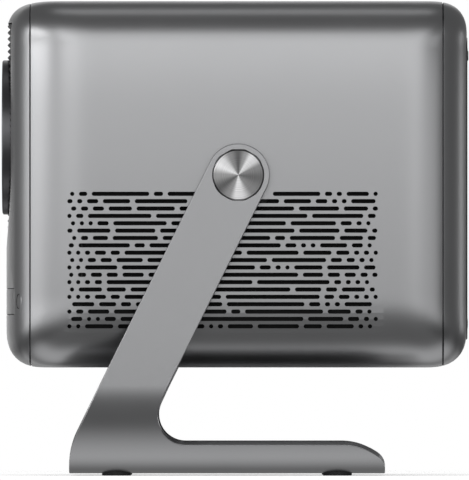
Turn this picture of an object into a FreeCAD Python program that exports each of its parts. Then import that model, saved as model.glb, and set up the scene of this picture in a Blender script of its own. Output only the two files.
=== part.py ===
import FreeCAD, Part
import math
import os
import re
import Sketcher
from FreeCAD import Placement, Rotation, Vector

# A box-shaped video projector that tilts in a bent-plate stand, with a tray-loading
# disc drive in its lower half.
# Frame: the lens looks along -Y, the stand's arms stand at +X and -X, +Z is up.
# The origin is on the floor, at the middle of the whole object's outline.

doc = FreeCAD.newDocument("projector")

# ---------------------------------------------------------------- driving sizes, in mm
SIZES = {
    # projector casing, measured over its outer faces
    "body_wide": 206, "body_high": 182.7, "body_low": 54.1, "body_front": -114.35,
    "body_rear": 115.3, "wall": 2.4, "front_crown": 500, "plan_round": 31,
    "top_side_round": 19, "top_end_round": 17.5, "low_side_round": 30, "low_end_round": 17.5,
    # the two seams between bezel, sleeve and rear cover
    "seam_front": -102.2, "seam_rear": 103.8, "seam_gap": 0.6, "lip_long": 5, "lip_thick": 1.6,
    "lip_ease": 0.1,
    # tilt pivot
    "pivot_y": 1.7, "pivot_z": 149.8, "bore_radius": 12.8, "journal_radius": 12.75,
    "cap_radius": 12.45, "cap_thick": 1.3, "hub_flange_radius": 18, "hub_flange_thick": 1.9,
    "housing_bore": 13.6, "washer_radius": 15.4, "washer_hole": 13.3, "washer_thick": 1.8,
    # bent stand
    "stand_wide": 216, "plate": 3.15, "bend_radius": 44, "stand_front": -82.8,
    "stand_rear": 75, "foot_high": 1.1, "arm_lean": 26.4, "arm_half": 15.77,
    "head_flat": 0.2, "lip_top": 17.35, "crotch_round": 15.8, "toe_round": 40,
    "heel_run": 12, "heel_low": 9.5, "heel_round": 30, "heel_end_round": 8,
    "foot_radius": 7.3, "foot_across": 52, "foot_front": -59.1, "foot_rear": 51.2,
    # vents in both sides of the sleeve
    "vent_top": 140.55, "vent_pitch": 3.683, "vent_high": 2, "vent_gap": 2.4,
    "vent_front": -83.4, "vent_clear": 24,
    # front: lens, ribbed panel, tray slot, eject button, receiver window
    "lens_z": 169.7, "ring_radius": 38.25, "ring_front": -116.82, "ring_hole": 29, "ring_neck": 33,
    "panel_half": 51, "panel_top": 226.6, "panel_arc": 56.2, "panel_thick": 3.2,
    "panel_inset": 0.5, "panel_gap": 0.3, "rib_pitch": 3.15, "rib_deep": 1,
    "flange_wide": 4, "flange_thick": 1.3, "flange_below": 8,
    "door_half": 67, "door_low": 80.5, "door_high": 13, "door_back": -106.5, "door_gap": 0.5,
    "eject_x": 77, "eject_z": 87, "eject_radius": 3.6, "eject_collar": 1.2, "eject_travel": 1,
    "eject_front": 8.2, "eject_back": 14.4, "eject_collar_thick": 1.5, "window_back": 12,
    # rear: panel, sockets and power button
    "panel_rear_half": 74, "panel_rear_low": 68, "panel_rear_top": 219, "panel_rear_thick": 2.4,
    "panel_rear_proud": 0.85, "panel_rear_round": 8, "panel_rear_rim": 4,
    "exhaust_half": 56, "exhaust_low": 148, "exhaust_pitch": 8, "exhaust_high": 3.4,
    "power_x": 52, "power_z": 210, "power_radius": 2.5, "power_proud": 0.68, "power_travel": 0.5,
    # chassis
    "frame_half": 97, "frame_thick": 2, "frame_arm": 44, "frame_top": 172,
    "frame_bend": 24, "frame_floor_half": 72, "frame_floor_front": -88, "frame_floor_rear": 88,
    "deck_z": 112, "deck_thick": 2, "deck_half": 78, "deck_front": -92, "deck_rear": 98,
    # disc loader
    "loader_half": 72, "loader_front": -96.5, "loader_rear": 64, "loader_low": 58.5,
    "loader_top": 98, "loader_wall": 2.2, "disc_y": -35, "tray_half": 65.5, "tray_low": 84,
    "tray_high": 6, "tray_rear": 50, "recess_radius": 61, "recess_deep": 2.4,
    "small_recess_radius": 41, "slot_half": 22,
    "traverse_half": 32, "traverse_front": -60, "traverse_rear": 52, "traverse_z": 70,
    "traverse_thick": 2.5, "hinge_y": 48, "hinge_z": 71.2, "hinge_pin": 2,
    "gear_teeth": 16, "gear_module": 1, "gear_x": -46, "gear_y": -82, "gear_low": 80.4,
    "pulley_radius": 14, "pulley_low": 72.6, "pulley_high": 4, "motor_x": 4, "motor_y": -84,
    "motor_radius": 10, "motor_pulley_radius": 3.5, "groove_deep": 1.1, "belt_radius": 0.7,
    "spindle_radius": 13, "platter_radius": 14.5, "rod_across": 19, "rod_z": 76,
    "rod_radius": 1.5, "sled_half": 24, "sled_front": -20, "sled_long": 24,
    "screw_x": 28.5, "screw_z": 77.1, "screw_radius": 1.4, "screw_front": -21.8, "screw_rear": 30.1,
    "sled_motor_radius": 4.3, "sled_motor_front": 30.2, "sled_motor_rear": 42,
    "sled_low": 73.4, "sled_top": 79.4, "turret_half": 9, "turret_top": 85.6, "pickup_high": 1.6,
    "clamper_low": 93.9, "clamper_foot": 16, "clamper_foot_top": 97.6, "clamper_neck": 12.6,
    "clamper_head": 15.5, "clamper_ease": 2.05, "clamper_head_thick": 1.4,
    "spindle_low": 66.6, "bearing_radius": 4, "winding_radius": 9.8, "winding_top": 82.5,
    "bearing_top": 83.4, "shaft_low": 68.2, "shaft_radius": 1.5, "shaft_ease": 0.05,
    "bell_radius": 12, "bell_inner": 10.5, "bell_low": 76, "bell_under": 84,
    "platter_low": 87.5, "platter_top": 90.8, "cone_radius": 7.4, "cone_top": 93.2,
    # optics
    "barrel_radius": 31, "barrel_bore": 27, "barrel_front": -100, "barrel_rear": -62,
    "focus_front": -104, "focus_rear": -70, "focus_mouth": 22.5, "focus_seat": 18, "focus_lip": 16.5,
    "focus_ease": 0.05, "flange_radius": 37, "engine_half": 48, "engine_front": -58, "engine_rear": 52,
    "engine_low": 132, "engine_top": 204, "engine_round": 5,
    # air
    "filter_thick": 1, "filter_low": 84.2, "filter_front": -76, "filter_rear": 83,
    "fan_size": 60, "fan_thick": 15, "fan_y": 57, "fan_z": 109,
    "fan_hole": 28.5, "blade_radius": 27, "fan_hub": 11, "blades": 7,
    "speaker_y": -54, "speaker_z": 108, "speaker_radius": 26,
    # boards
    "board_thick": 1.6, "board_z": 118, "board_half": 74, "board_front": 58, "board_rear": 104,
}

sheet = doc.addObject("Spreadsheet::Sheet", "Sizes")
for row, (alias, number) in enumerate(SIZES.items(), start=1):
    sheet.set(f"A{row}", alias.replace("_", " "))
    sheet.set(f"B{row}", str(number))
    sheet.setAlias(f"B{row}", alias)
doc.recompute()


# ---------------------------------------------------------------- helpers
def bound(formula):
    """Turn a formula in the sheet's names into an expression that reads the sheet."""
    def cell(match):
        return "Sizes." + match.group(0) if match.group(0) in SIZES else match.group(0)
    return re.sub(r"[a-z]\w*", cell, str(formula))


def size(formula):
    """The number that a formula in the sheet's names comes to."""
    return float(sheet.evalExpression(bound(formula)))


def place(item, x="0", y="0", z="0", turn=None):
    """Put an object at a spot given as formulas, turned by a fixed rotation."""
    if turn:
        item.Placement = Placement(Vector(), turn)
    for way, formula in zip("xyz", (x, y, z)):
        item.setExpression(f"Placement.Base.{way}", bound(formula))
    return item


def block(label, x, y, z):
    """A box between two formulas along each axis."""
    item = doc.addObject("Part::Box", label)
    for edge, (low, high) in zip(("Length", "Width", "Height"), (x, y, z)):
        item.setExpression(edge, bound(f"({high}) - ({low})"))
    return place(item, x[0], y[0], z[0])


AXIS_TURN = {
    "x": Rotation(Vector(0, 1, 0), 90),
    "y": Rotation(Vector(1, 0, 0), -90),
    "z": Rotation(),
}


def bar(label, axis, radius, span, x="0", y="0", z="0"):
    """A round bar along an axis, over a span of that axis; x, y, z give its centre line."""
    item = doc.addObject("Part::Cylinder", label)
    item.setExpression("Radius", bound(radius))
    item.setExpression("Height", bound(f"({span[1]}) - ({span[0]})"))
    spot = {"x": x, "y": y, "z": z}
    spot[axis] = span[0]
    return place(item, spot["x"], spot["y"], spot["z"], AXIS_TURN[axis])


def cut(label, base, *tools):
    """The base with the tools taken out of it."""
    item = doc.addObject("Part::Cut", label)
    item.Base = base
    item.Tool = tools[0] if len(tools) == 1 else group(label + "_tools", *tools)
    return item


def fuse(label, *items):
    """Several pieces as one solid."""
    item = doc.addObject("Part::MultiFuse", label)
    item.Shapes = list(items)
    item.Refine = True
    return item


def common(label, *items):
    """What several solids share."""
    item = doc.addObject("Part::MultiCommon", label)
    item.Shapes = list(items)
    return item


def group(label, *items):
    """Separate solids kept together in one node."""
    item = doc.addObject("Part::Compound", label)
    item.Links = list(items)
    return item


def mirrored(item):
    """The same piece on the other side of the middle plane X = 0."""
    twin = doc.addObject("Part::Mirroring", item.Name + "_twin")
    twin.Source = item
    twin.Normal = Vector(1, 0, 0)
    return twin


def both_sides(label, item):
    """A piece at +X and its mirror image at -X, in one node."""
    return group(label, item, mirrored(item))


def solid(label, shape):
    """A piece whose shape is worked out by this script's own code."""
    item = doc.addObject("Part::Feature", label)
    item.Shape = shape
    return item


def body(label):
    """An empty PartDesign body."""
    return doc.addObject("PartDesign::Body", label)


def sketch_on(piece, role, offset="0"):
    """A sketch on one of the body's own origin planes, moved along its normal."""
    sketch = piece.newObject("Sketcher::SketchObject", piece.Name + "_sketch")
    plane = [face for face in piece.Origin.OriginFeatures if face.Role == role][0]
    sketch.AttachmentSupport = [(plane, "")]
    sketch.MapMode = "FlatFace"
    sketch.setExpression("AttachmentOffset.Base.z", bound(offset))
    return sketch


def hold(sketch, way, geometry, point, formula):
    """Fix one coordinate of a sketch point to a formula."""
    number = sketch.addConstraint(
        Sketcher.Constraint(way, -1, 1, geometry, point, size(formula)))
    sketch.setExpression(f"Constraints[{number}]", bound(formula))


def hold_radius(sketch, geometry, formula):
    """Fix a circle's or an arc's radius to a formula."""
    number = sketch.addConstraint(Sketcher.Constraint("Radius", geometry, size(formula)))
    sketch.setExpression(f"Constraints[{number}]", bound(formula))


def circle(sketch, across, up, radius):
    """A full circle in a sketch."""
    centre = Vector(size(across), size(up), 0)
    ring = sketch.addGeometry(Part.Circle(centre, Vector(0, 0, 1), size(radius)))
    hold(sketch, "DistanceX", ring, 3, across)
    hold(sketch, "DistanceY", ring, 3, up)
    hold_radius(sketch, ring, radius)


def outline(sketch, corners):
    """A closed outline through corners (across, up, radius); radius 0 leaves a sharp corner."""
    spots = [Vector(size(across), size(up), 0) for across, up, radius in corners]
    arrive, leave, middle = [], [], []
    for place_in_row, spot in enumerate(spots):
        radius = size(corners[place_in_row][2])
        back = (spots[place_in_row - 1] - spot).normalize()
        ahead = (spots[(place_in_row + 1) % len(spots)] - spot).normalize()
        half_angle = back.getAngle(ahead) / 2
        reach = radius / math.tan(half_angle)
        inward = (back + ahead).normalize() if radius else Vector()
        arrive.append(spot + back * reach)
        leave.append(spot + ahead * reach)
        middle.append(spot + inward * (radius / math.sin(half_angle) - radius))
    lines = [sketch.addGeometry(Part.LineSegment(start, arrive[(number + 1) % len(spots)]))
             for number, start in enumerate(leave)]
    for number, (across, up, radius) in enumerate(corners):
        before, after = lines[number - 1], lines[number]
        if not size(radius):
            sketch.addConstraint(Sketcher.Constraint("Coincident", before, 2, after, 1))
            hold(sketch, "DistanceX", after, 1, across)
            hold(sketch, "DistanceY", after, 1, up)
            continue
        arc = sketch.addGeometry(Part.Arc(arrive[number], middle[number], leave[number]))
        first = 1 if sketch.getPoint(arc, 1).distanceToPoint(arrive[number]) < 1e-6 else 2
        sketch.addConstraint(Sketcher.Constraint("Tangent", before, 2, arc, first))
        sketch.addConstraint(Sketcher.Constraint("Tangent", arc, 3 - first, after, 1))
        hold_radius(sketch, arc, radius)
        corner = sketch.addGeometry(Part.Point(spots[number]), True)
        sketch.addConstraint(Sketcher.Constraint("PointOnObject", corner, 1, before))
        sketch.addConstraint(Sketcher.Constraint("PointOnObject", corner, 1, after))
        hold(sketch, "DistanceX", corner, 1, across)
        hold(sketch, "DistanceY", corner, 1, up)


def pad(piece, sketch, length, symmetric=False):
    """Raise a sketch along its normal."""
    feature = piece.newObject("PartDesign::Pad", piece.Name + "_pad")
    feature.Profile = sketch
    feature.SideType = "Symmetric" if symmetric else "One side"
    feature.setExpression("Length", bound(length))
    return feature


def pocket(piece, sketch, length=None, against=False):
    """Cut a sketch into the body: right through both ways, or to a depth."""
    feature = piece.newObject("PartDesign::Pocket", piece.Name + "_pocket")
    feature.Profile = sketch
    if length is None:
        feature.Type = "ThroughAll"
        feature.SideType = "Symmetric"
    else:
        feature.setExpression("Length", bound(length))
        feature.Reversed = against
    return feature


TURN_PLANE = {"x": ("XY_Plane", "H_Axis"), "y": ("XY_Plane", "V_Axis"), "z": ("XZ_Plane", "V_Axis")}


def turned(label, axis, profile, x="0", y="0", z="0"):
    """A turned piece; the profile lists (along the axis, radius, rounding) from the centre."""
    piece = body(label)
    role, line = TURN_PLANE[axis]
    sketch = sketch_on(piece, role)
    swap = axis != "x"
    outline(sketch, [(radius, along, curve) if swap else (along, radius, curve)
                     for along, radius, curve in profile])
    feature = piece.newObject("PartDesign::Revolution", label + "_turn")
    feature.Profile = sketch
    feature.ReferenceAxis = (sketch, [line])
    feature.Angle = 360
    return place(piece, x, y, z)


def plate_on(label, role, corners, start, thickness, symmetric=False):
    """A flat piece: an outline on an origin plane, raised to a thickness."""
    piece = body(label)
    sketch = sketch_on(piece, role, start)
    outline(sketch, corners)
    pad(piece, sketch, thickness, symmetric)
    return piece


def rectangle(left, right, low, high, radius="0"):
    """The four corners of a rectangle."""
    return [(left, low, radius), (right, low, radius), (right, high, radius), (left, high, radius)]


# ---------------------------------------------------------------- casing
def casing_form(label, inset):
    """The casing's outer form, shrunk evenly by an inset: crowned front, soft edges all round."""
    piece = body(label + "_plan")
    half = f"body_wide / 2 - ({inset})"
    rear = f"body_rear - ({inset})"
    round_ = f"plan_round - ({inset})"
    crown = f"front_crown - ({inset})"
    crown_centre = "body_front + front_crown"
    corner_x = size(f"{half} - ({round_})")
    reach = size(f"{crown} - ({round_})")
    middle_y = size(crown_centre)
    corner_y = middle_y - math.sqrt(reach ** 2 - corner_x ** 2)
    touch = Vector(corner_x, corner_y - middle_y, 0) * (size(crown) / reach) + Vector(0, middle_y, 0)
    small, wide_half, back = size(round_), size(half), size(rear)
    side_front = Vector(wide_half, corner_y, 0)
    side_rear = Vector(wide_half, back - small, 0)
    rear_end = Vector(wide_half - small, back, 0)
    slant = small * math.sqrt(0.5)

    def flip(point):
        return Vector(-point.x, point.y, 0)

    def arc(start, through, end):
        return Part.Arc(start, through, end)

    front_through = Vector(corner_x, corner_y, 0) + Vector(1, -1, 0) * slant
    rear_through = Vector(wide_half - small, back - small, 0) + Vector(1, 1, 0) * slant
    sketch = sketch_on(piece, "XY_Plane", f"body_low + ({inset})")
    parts = [
        arc(flip(touch), Vector(0, middle_y - size(crown), 0), touch),
        arc(touch, front_through, side_front),
        Part.LineSegment(side_front, side_rear),
        arc(side_rear, rear_through, rear_end),
        Part.LineSegment(rear_end, flip(rear_end)),
        arc(flip(rear_end), flip(rear_through), flip(side_rear)),
        Part.LineSegment(flip(side_rear), flip(side_front)),
        arc(flip(side_front), flip(front_through), flip(touch)),
    ]
    ids = [sketch.addGeometry(part) for part in parts]
    for number, first in enumerate(ids):
        second = ids[(number + 1) % len(ids)]
        sketch.addConstraint(Sketcher.Constraint("Tangent", first, 2, second, 1))
    front, side, base, other = ids[0], ids[2], ids[4], ids[6]
    sketch.addConstraint(Sketcher.Constraint("Vertical", side))
    sketch.addConstraint(Sketcher.Constraint("Vertical", other))
    sketch.addConstraint(Sketcher.Constraint("Horizontal", base))
    hold_radius(sketch, front, crown)
    hold(sketch, "DistanceX", front, 3, "0")
    hold(sketch, "DistanceY", front, 3, crown_centre)
    for corner in (ids[1], ids[3], ids[5], ids[7]):
        hold_radius(sketch, corner, round_)
    hold(sketch, "DistanceX", side, 1, half)
    hold(sketch, "DistanceX", other, 1, f"-({half})")
    hold(sketch, "DistanceY", base, 1, rear)
    pad(piece, sketch, f"body_high - 2 * ({inset})")
    doc.recompute()
    return rounded_form(label, piece, inset)


def rounded_form(label, prism, inset):
    """Round the prism's top and bottom edges, wider along the sides than at front and rear."""
    less = size(inset)
    radii = {
        "top": (size("top_side_round") - less, size("top_end_round") - less),
        "low": (size("low_side_round") - less, size("low_end_round") - less),
    }
    top = size("body_low + body_high") - less
    low = size("body_low") + less
    half = size("body_wide / 2") - less
    edges = []
    for number, edge in enumerate(prism.Shape.Edges, start=1):
        heights = [corner.Point.z for corner in edge.Vertexes]
        for name, level in (("top", top), ("low", low)):
            if all(abs(height - level) < 1e-6 for height in heights):
                ends = [edge.valueAt(edge.FirstParameter), edge.valueAt(edge.LastParameter)]
                wide, narrow = radii[name]
                sizes = [wide if abs(abs(end.x) - half) < 1e-6 else narrow for end in ends]
                edges.append((number, sizes[0], sizes[1]))
    form = doc.addObject("Part::Fillet", label)
    form.Base = prism
    form.Edges = edges
    doc.recompute()
    return form


outer_form = casing_form("outer_form", "0")
inner_form = casing_form("inner_form", "wall")
lip_form = casing_form("lip_form", "wall + lip_ease")
lip_inside = casing_form("lip_inside", "wall + lip_ease + lip_thick")
FAR = "400"
casing_shell = cut("casing_shell", outer_form, inner_form)
tongue_shell = cut("tongue_shell", lip_form, lip_inside)
root_shell = cut("root_shell", inner_form, lip_inside)


def slice_of(shell, label, front, rear):
    """The part of a shell between two planes across the casing's length."""
    slab = block(label + "_slab", ("-" + FAR, FAR), (front, rear), ("-" + FAR, FAR))
    return common(label, shell, slab)


# ---------------------------------------------------------------- stand
def stand_bracket():
    """One bent plate: base, two large bends and two leaning arms with round heads."""
    piece = body("stand_bracket")
    tall = "pivot_z + 40"
    side = "stand_wide / 2"
    inner = "stand_wide / 2 - plate"
    section = sketch_on(piece, "XZ_Plane", "-stand_rear")
    outline(section, [
        (f"-({side})", tall, "0"), (f"-({side})", "foot_high", "bend_radius"),
        (side, "foot_high", "bend_radius"), (side, tall, "0"), (inner, tall, "0"),
        (inner, "foot_high + plate", "bend_radius - plate"),
        (f"-({inner})", "foot_high + plate", "bend_radius - plate"), (f"-({inner})", tall, "0"),
    ])
    pad(piece, section, "stand_rear - stand_front")
    up, over = "cos(arm_lean)", "sin(arm_lean)"
    front_y = f"pivot_y + arm_half * ({over} - {up})"
    front_z = f"pivot_z + arm_half * ({up} + {over})"
    rear_y = f"pivot_y + arm_half * ({over} + {up})"
    rear_z = f"pivot_z + arm_half * ({up} - {over})"
    head_round = "arm_half - head_flat"
    waste = sketch_on(piece, "YZ_Plane")
    outline(waste, rectangle("-" + FAR, FAR, "-" + FAR, FAR))
    outline(waste, [
        (front_y, front_z, head_round),
        (rear_y, rear_z, head_round),
        (f"{rear_y} - ({rear_z} - lip_top) * tan(arm_lean)", "lip_top", "crotch_round"),
        ("stand_rear - heel_run", "lip_top", "heel_round"),
        ("stand_rear", "heel_low", "heel_end_round"),
        ("stand_rear", "-1", "0"),
        ("stand_front", "-1", "0"),
        ("stand_front", f"{front_z} - ({front_y} - stand_front) / tan(arm_lean)", "toe_round"),
    ])
    pocket(piece, waste)
    bores = sketch_on(piece, "YZ_Plane")
    circle(bores, "pivot_y", "pivot_z", "bore_radius")
    pocket(piece, bores)


def stand_feet():
    """Four round rubber pads under the base."""
    pads = [bar(f"foot_{row}_{column}", "z", "foot_radius", ("0", "foot_high"), x=across, y=along)
            for row, along in enumerate(("foot_front", "foot_rear"))
            for column, across in enumerate(("-foot_across", "foot_across"))]
    group("stand_feet", *pads)


# ---------------------------------------------------------------- tilt pivot
def friction_washers():
    """A ring on the inside of each arm; the casing's side turns against it."""
    arm_face = "stand_wide / 2 - plate"
    ring = turned("friction_washer", "x", [
        (f"{arm_face} - washer_thick", "washer_hole", "0"), (arm_face, "washer_hole", "0"),
        (arm_face, "washer_radius", "0"), (f"{arm_face} - washer_thick", "washer_radius", "0"),
    ], y="pivot_y", z="pivot_z")
    both_sides("friction_washers", ring)


def tilt_hubs():
    """Flanged hubs on the chassis arms; their journals turn in the stand's bores."""
    flange_end = "frame_half + hub_flange_thick"
    tip = "stand_wide / 2 - cap_thick"
    hub = turned("tilt_hub", "x", [
        ("frame_half", "0", "0"), (tip, "0", "0"), (tip, "journal_radius", "0"),
        (flange_end, "journal_radius", "0"), (flange_end, "hub_flange_radius", "0"),
        ("frame_half", "hub_flange_radius", "0"),
    ], y="pivot_y", z="pivot_z")
    cut("tilt_hubs", both_sides("plain_hubs", hub), doc.getObject("hub_screws"))


def pivot_caps():
    """Spun metal caps on the hubs' ends, with a small bevel round the edge."""
    face = "stand_wide / 2"
    cap = turned("pivot_cap", "x", [
        (f"{face} - cap_thick", "0", "0"), (face, "0", "0"), (face, "cap_radius - 0.8", "0"),
        (f"{face} - 0.5", "cap_radius", "0"), (f"{face} - cap_thick", "cap_radius", "0"),
    ], y="pivot_y", z="pivot_z")
    both_sides("pivot_caps", cap)


# ---------------------------------------------------------------- casing shells
# Rows of vent slots from the top down, in mm: the plain length before the first slot,
# then each slot's length. The gap between two slots is the same everywhere.
VENT_ROWS = (
    "1.4: 2 4 28.5 4.5 50 23.5 3.5 2.5 11 2",
    "0: 2.5 2.5 5.5 13.5 72.5 13.5 5.5 2.5 2 12.5",
    "1.9: 2.5 3.5 5.5 11.5 19 57 20 12 2.5",
    "0: 2 3.5 31.5 76 25 4",
    "1.8: 2 2 2 5.5 26.5 57 22.5 5.5 2.5 2",
    "0: 2.5 16.5 20 67.5 20 11.5 2.5",
    "2.4: 2 3.5 7.5 22.5 53.5 5 22.5 11.5 4",
    "0.7: 2.5 25.5 5 65.5 5.5 2.5 2.5 13.5 5.5 2",
    "0: 2 2 2.5 5.5 4.5 59 26 14 6.5 2.5 2.5 2",
    "1.4: 2 2 4 5.5 13 59.5 27 5.5 4 2.5 2",
    "0: 2 2 16 67 5.5 2.5 2 14 16 5.5",
    "0.9: 2 4 5.5 5.5 10.5 74.5 10 6 5.5 3.5 2.5",
    "0: 2 2 2.5 3.5 72.5 36.5 3.5 2.5 2.5 2",
    "1.3: 2 11.5 9.5 79.5 13 5.5 11.5 2.5",
    "0: 2 2 2.5 5.5 4.5 48 47 5 5.5 2.5 2.5 2",
    "2.4: 11 8.5 5 43 38.5 5.5 2.5 2.5 13.5",
    "0: 2 3.5 10.5 56 4.5 39 12 3.5 2",
    "1.9: 5.5 2 2 5.5 91 17.5 5.5 2.5 2",
    "0: 2 2 14 43 2 2.5 13 20.5 9 13.5 2.5 2",
)


def vent_slots():
    """Cutters for every vent slot, right through both sides; the pivot's seat stays whole."""
    high, gap = size("vent_high"), size("vent_gap")
    slots = []
    for row, text in enumerate(VENT_ROWS):
        lead, lengths = text.split(":")
        along = size("vent_front") + float(lead)
        low = size("vent_top") - row * size("vent_pitch") - high / 2
        for length in map(float, lengths.split()):
            slots.append(Part.makeBox(2 * size(FAR), length, high, Vector(-size(FAR), along, low)))
            along += length + gap
    seat = Part.makeCylinder(size("vent_clear"), 2 * size(FAR),
                             Vector(-size(FAR), size("pivot_y"), size("pivot_z")), Vector(1, 0, 0))
    return solid("vent_slots", Part.makeCompound(slots).cut(seat))


def pivot_holes(label):
    """The two holes that let the hubs out through the casing's sides."""
    return bar(label, "x", "housing_bore", ("-" + FAR, FAR), y="pivot_y", z="pivot_z")


def sleeve_housing():
    """The one-piece sleeve between the two seams."""
    plain = slice_of(casing_shell, "sleeve_plain",
                     "seam_front + seam_gap / 2", "seam_rear - seam_gap / 2")
    cut("sleeve_housing", plain, pivot_holes("pivot_holes"), vent_slots())


def ribbed_outline(grow, top):
    """The front panel's outline: straight sides and top, and an arc about the lens below."""
    half = f"panel_half + {grow}"
    radius = size(f"panel_arc + {grow}")
    side, lens, high = size(half), size("lens_z"), size(top)
    drop = math.sqrt(radius ** 2 - side ** 2)
    left, right = Vector(-side, 0, lens - drop), Vector(side, 0, lens - drop)
    low = Vector(0, 0, lens - radius)
    top_left, top_right = Vector(-side, 0, high), Vector(side, 0, high)
    return Part.Wire([
        Part.Arc(left, low, right).toShape(), Part.LineSegment(right, top_right).toShape(),
        Part.LineSegment(top_right, top_left).toShape(), Part.LineSegment(top_left, left).toShape(),
    ])


def ribbed_prism(grow, top):
    """The panel's outline carried right through the casing's front."""
    face = Part.Face(ribbed_outline(grow, top))
    face.translate(Vector(0, -size(FAR), 0))
    return face.extrude(Vector(0, size(f"{FAR} + seam_front"), 0))


def front_bezel():
    """The front shell: its inner lip goes into the sleeve, its openings take the rest."""
    edge = "seam_front - seam_gap / 2"
    skin = slice_of(casing_shell, "bezel_skin", "-" + FAR, edge)
    root = slice_of(root_shell, "bezel_lip_root", "seam_front - lip_long", edge)
    tongue = slice_of(tongue_shell, "bezel_tongue", edge, "seam_front + lip_long")
    joined = fuse("bezel_joined", skin, root, tongue)
    slot = block("tray_opening", ("-(door_half + door_gap)", "door_half + door_gap"),
                 ("-" + FAR, "0"), ("door_low - door_gap", "door_low + door_high + door_gap"))
    eject = bar("eject_hole", "y", "eject_radius + 0.3", ("-" + FAR, "-60"), x="eject_x", z="eject_z")
    window = bar("window_hole", "y", "eject_radius", ("-" + FAR, "-60"), x="-eject_x", z="eject_z")
    opening = solid("panel_opening", ribbed_prism("0", "panel_top"))
    cut("front_bezel", joined, opening, slot, eject, window)


def rib_cutters():
    """The V grooves between the ribs, one prism each, following the crown."""
    pitch, deep = size("rib_pitch"), size("rib_deep")
    crown, middle = size("front_crown - panel_inset"), size("body_front + front_crown")
    count = int((size("panel_top") - size("lens_z - panel_arc")) / pitch)
    grooves = []
    for number in range(count):
        level = size("panel_top") - (number + 0.9) * pitch
        corners = [Vector(crown + deep, 0, level - pitch / 2 * 1.02),
                   Vector(crown - deep, 0, level), Vector(crown + deep, 0, level + pitch / 2 * 1.02)]
        face = Part.Face(Part.makePolygon(corners + corners[:1]))
        groove = face.revolve(Vector(), Vector(0, 0, 1), 40)
        groove.rotate(Vector(), Vector(0, 0, 1), -110)
        groove.translate(Vector(0, middle, 0))
        grooves.append(groove)
    return grooves


def ribbed_front_panel():
    """Crowned panel with level V ribs, a hole for the lens ring and a flange behind the bezel."""
    middle = Vector(0, size("body_front + front_crown"), size("body_low"))

    def crowned(outer, thick, prism):
        """A crowned sheet inside a prism."""
        outside = Part.makeCylinder(outer, size("body_high"), middle)
        inside = Part.makeCylinder(outer - thick, size("body_high"), middle)
        return outside.cut(inside).common(prism)

    plate = crowned(size("front_crown - panel_inset"), size("panel_thick"),
                    ribbed_prism("-panel_gap", "panel_top - panel_gap"))
    flange = crowned(size("front_crown - wall - 0.02"), size("flange_thick"),
                     ribbed_prism("flange_wide", "panel_top - flange_below"))
    hole = Part.makeCylinder(size("ring_radius + panel_gap"), 60,
                             Vector(0, size("body_front") - 30, size("lens_z")), Vector(0, 1, 0))
    ribbed = plate.fuse(flange).cut(hole)
    for groove in rib_cutters():
        ribbed = ribbed.cut(groove)
    solid("ribbed_front_panel", ribbed)


def lens_ring():
    """The dark ring round the lens: rounded outside, a cone inside, a neck on the barrel."""
    back = "body_front + 6.5"
    turned("lens_ring", "y", [
        ("ring_front", "ring_radius - 2.6", "0.8"), ("ring_front + 1.6", "ring_radius", "1"),
        (back, "ring_radius", "0"), (back, "ring_neck", "0"), ("barrel_front", "ring_neck", "0"),
        ("barrel_front", "ring_hole", "0"), ("ring_front + 9", "ring_hole", "0"),
        ("ring_front", "ring_radius - 4.4", "0.5"),
    ], z="lens_z")


def rear_cover():
    """The rear shell with a large opening behind the socket panel."""
    edge = "seam_rear + seam_gap / 2"
    skin = slice_of(casing_shell, "cover_skin", edge, FAR)
    root = slice_of(root_shell, "cover_lip_root", edge, "seam_rear + lip_long")
    tongue = slice_of(tongue_shell, "cover_tongue", "seam_rear - lip_long", edge)
    joined = fuse("cover_joined", skin, root, tongue)
    seat = "body_rear + panel_rear_proud - panel_rear_thick"
    recess = block("panel_recess", ("-(panel_rear_half + 0.2)", "panel_rear_half + 0.2"), (seat, FAR),
                   ("panel_rear_low - 0.2", "panel_rear_top + 0.2"))
    window_half = "panel_rear_half - panel_rear_rim"
    opening = block("panel_window", (f"-({window_half})", window_half), ("0", FAR),
                    ("panel_rear_low + panel_rear_rim", "panel_rear_top - panel_rear_rim"))
    cut("rear_cover", joined, fuse("cover_cuts", recess, opening))


def rear_panel():
    """Black plate across the rear, holding the sockets and the power button."""
    piece = body("rear_panel_plate")
    outer_face = "body_rear + panel_rear_proud"
    face = sketch_on(piece, "XZ_Plane", f"-({outer_face})")
    outline(face, rectangle("-panel_rear_half", "panel_rear_half", "panel_rear_low",
                            "panel_rear_top", "panel_rear_round"))
    pad(piece, face, "panel_rear_thick")
    holes = [socket_space(name, "0.2") for name in SOCKETS]
    button = bar("power_hole", "y", "power_radius + 0.3", ("100", FAR), x="power_x", z="power_z")
    slots = [block(f"exhaust_slot_{number}", ("-exhaust_half", "exhaust_half"), ("100", FAR),
                   (f"exhaust_low + {number} * exhaust_pitch",
                    f"exhaust_low + {number} * exhaust_pitch + exhaust_high")) for number in range(6)]
    cut("rear_panel", piece, button, *holes, *slots)


# Sockets on the rear panel: middle across, width, height and depth in mm.
SOCKETS = {
    "hdmi_socket": (-52, 15, 5.6, 12), "usb_socket": (-30, 14.4, 6.8, 14),
    "network_socket": (-8, 16, 13.4, 16), "audio_socket": (12, 9, 9, 12),
    "power_inlet": (46, 24, 16, 14),
}


def socket_space(name, grow):
    """A socket's outer box, a little larger where it has to clear a hole."""
    middle, wide, high, deep = SOCKETS[name]
    rear = "body_rear + panel_rear_proud - 0.3" if grow == "0" else FAR
    base = "board_z + board_thick"
    return block(f"{name}_box_{grow.replace('.', '_')}",
                 (f"{middle} - {wide / 2} - {grow}", f"{middle} + {wide / 2} + {grow}"),
                 (f"body_rear - {deep}", rear), (f"{base} - {grow}", f"{base} + {high} + {grow}"))


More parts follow.
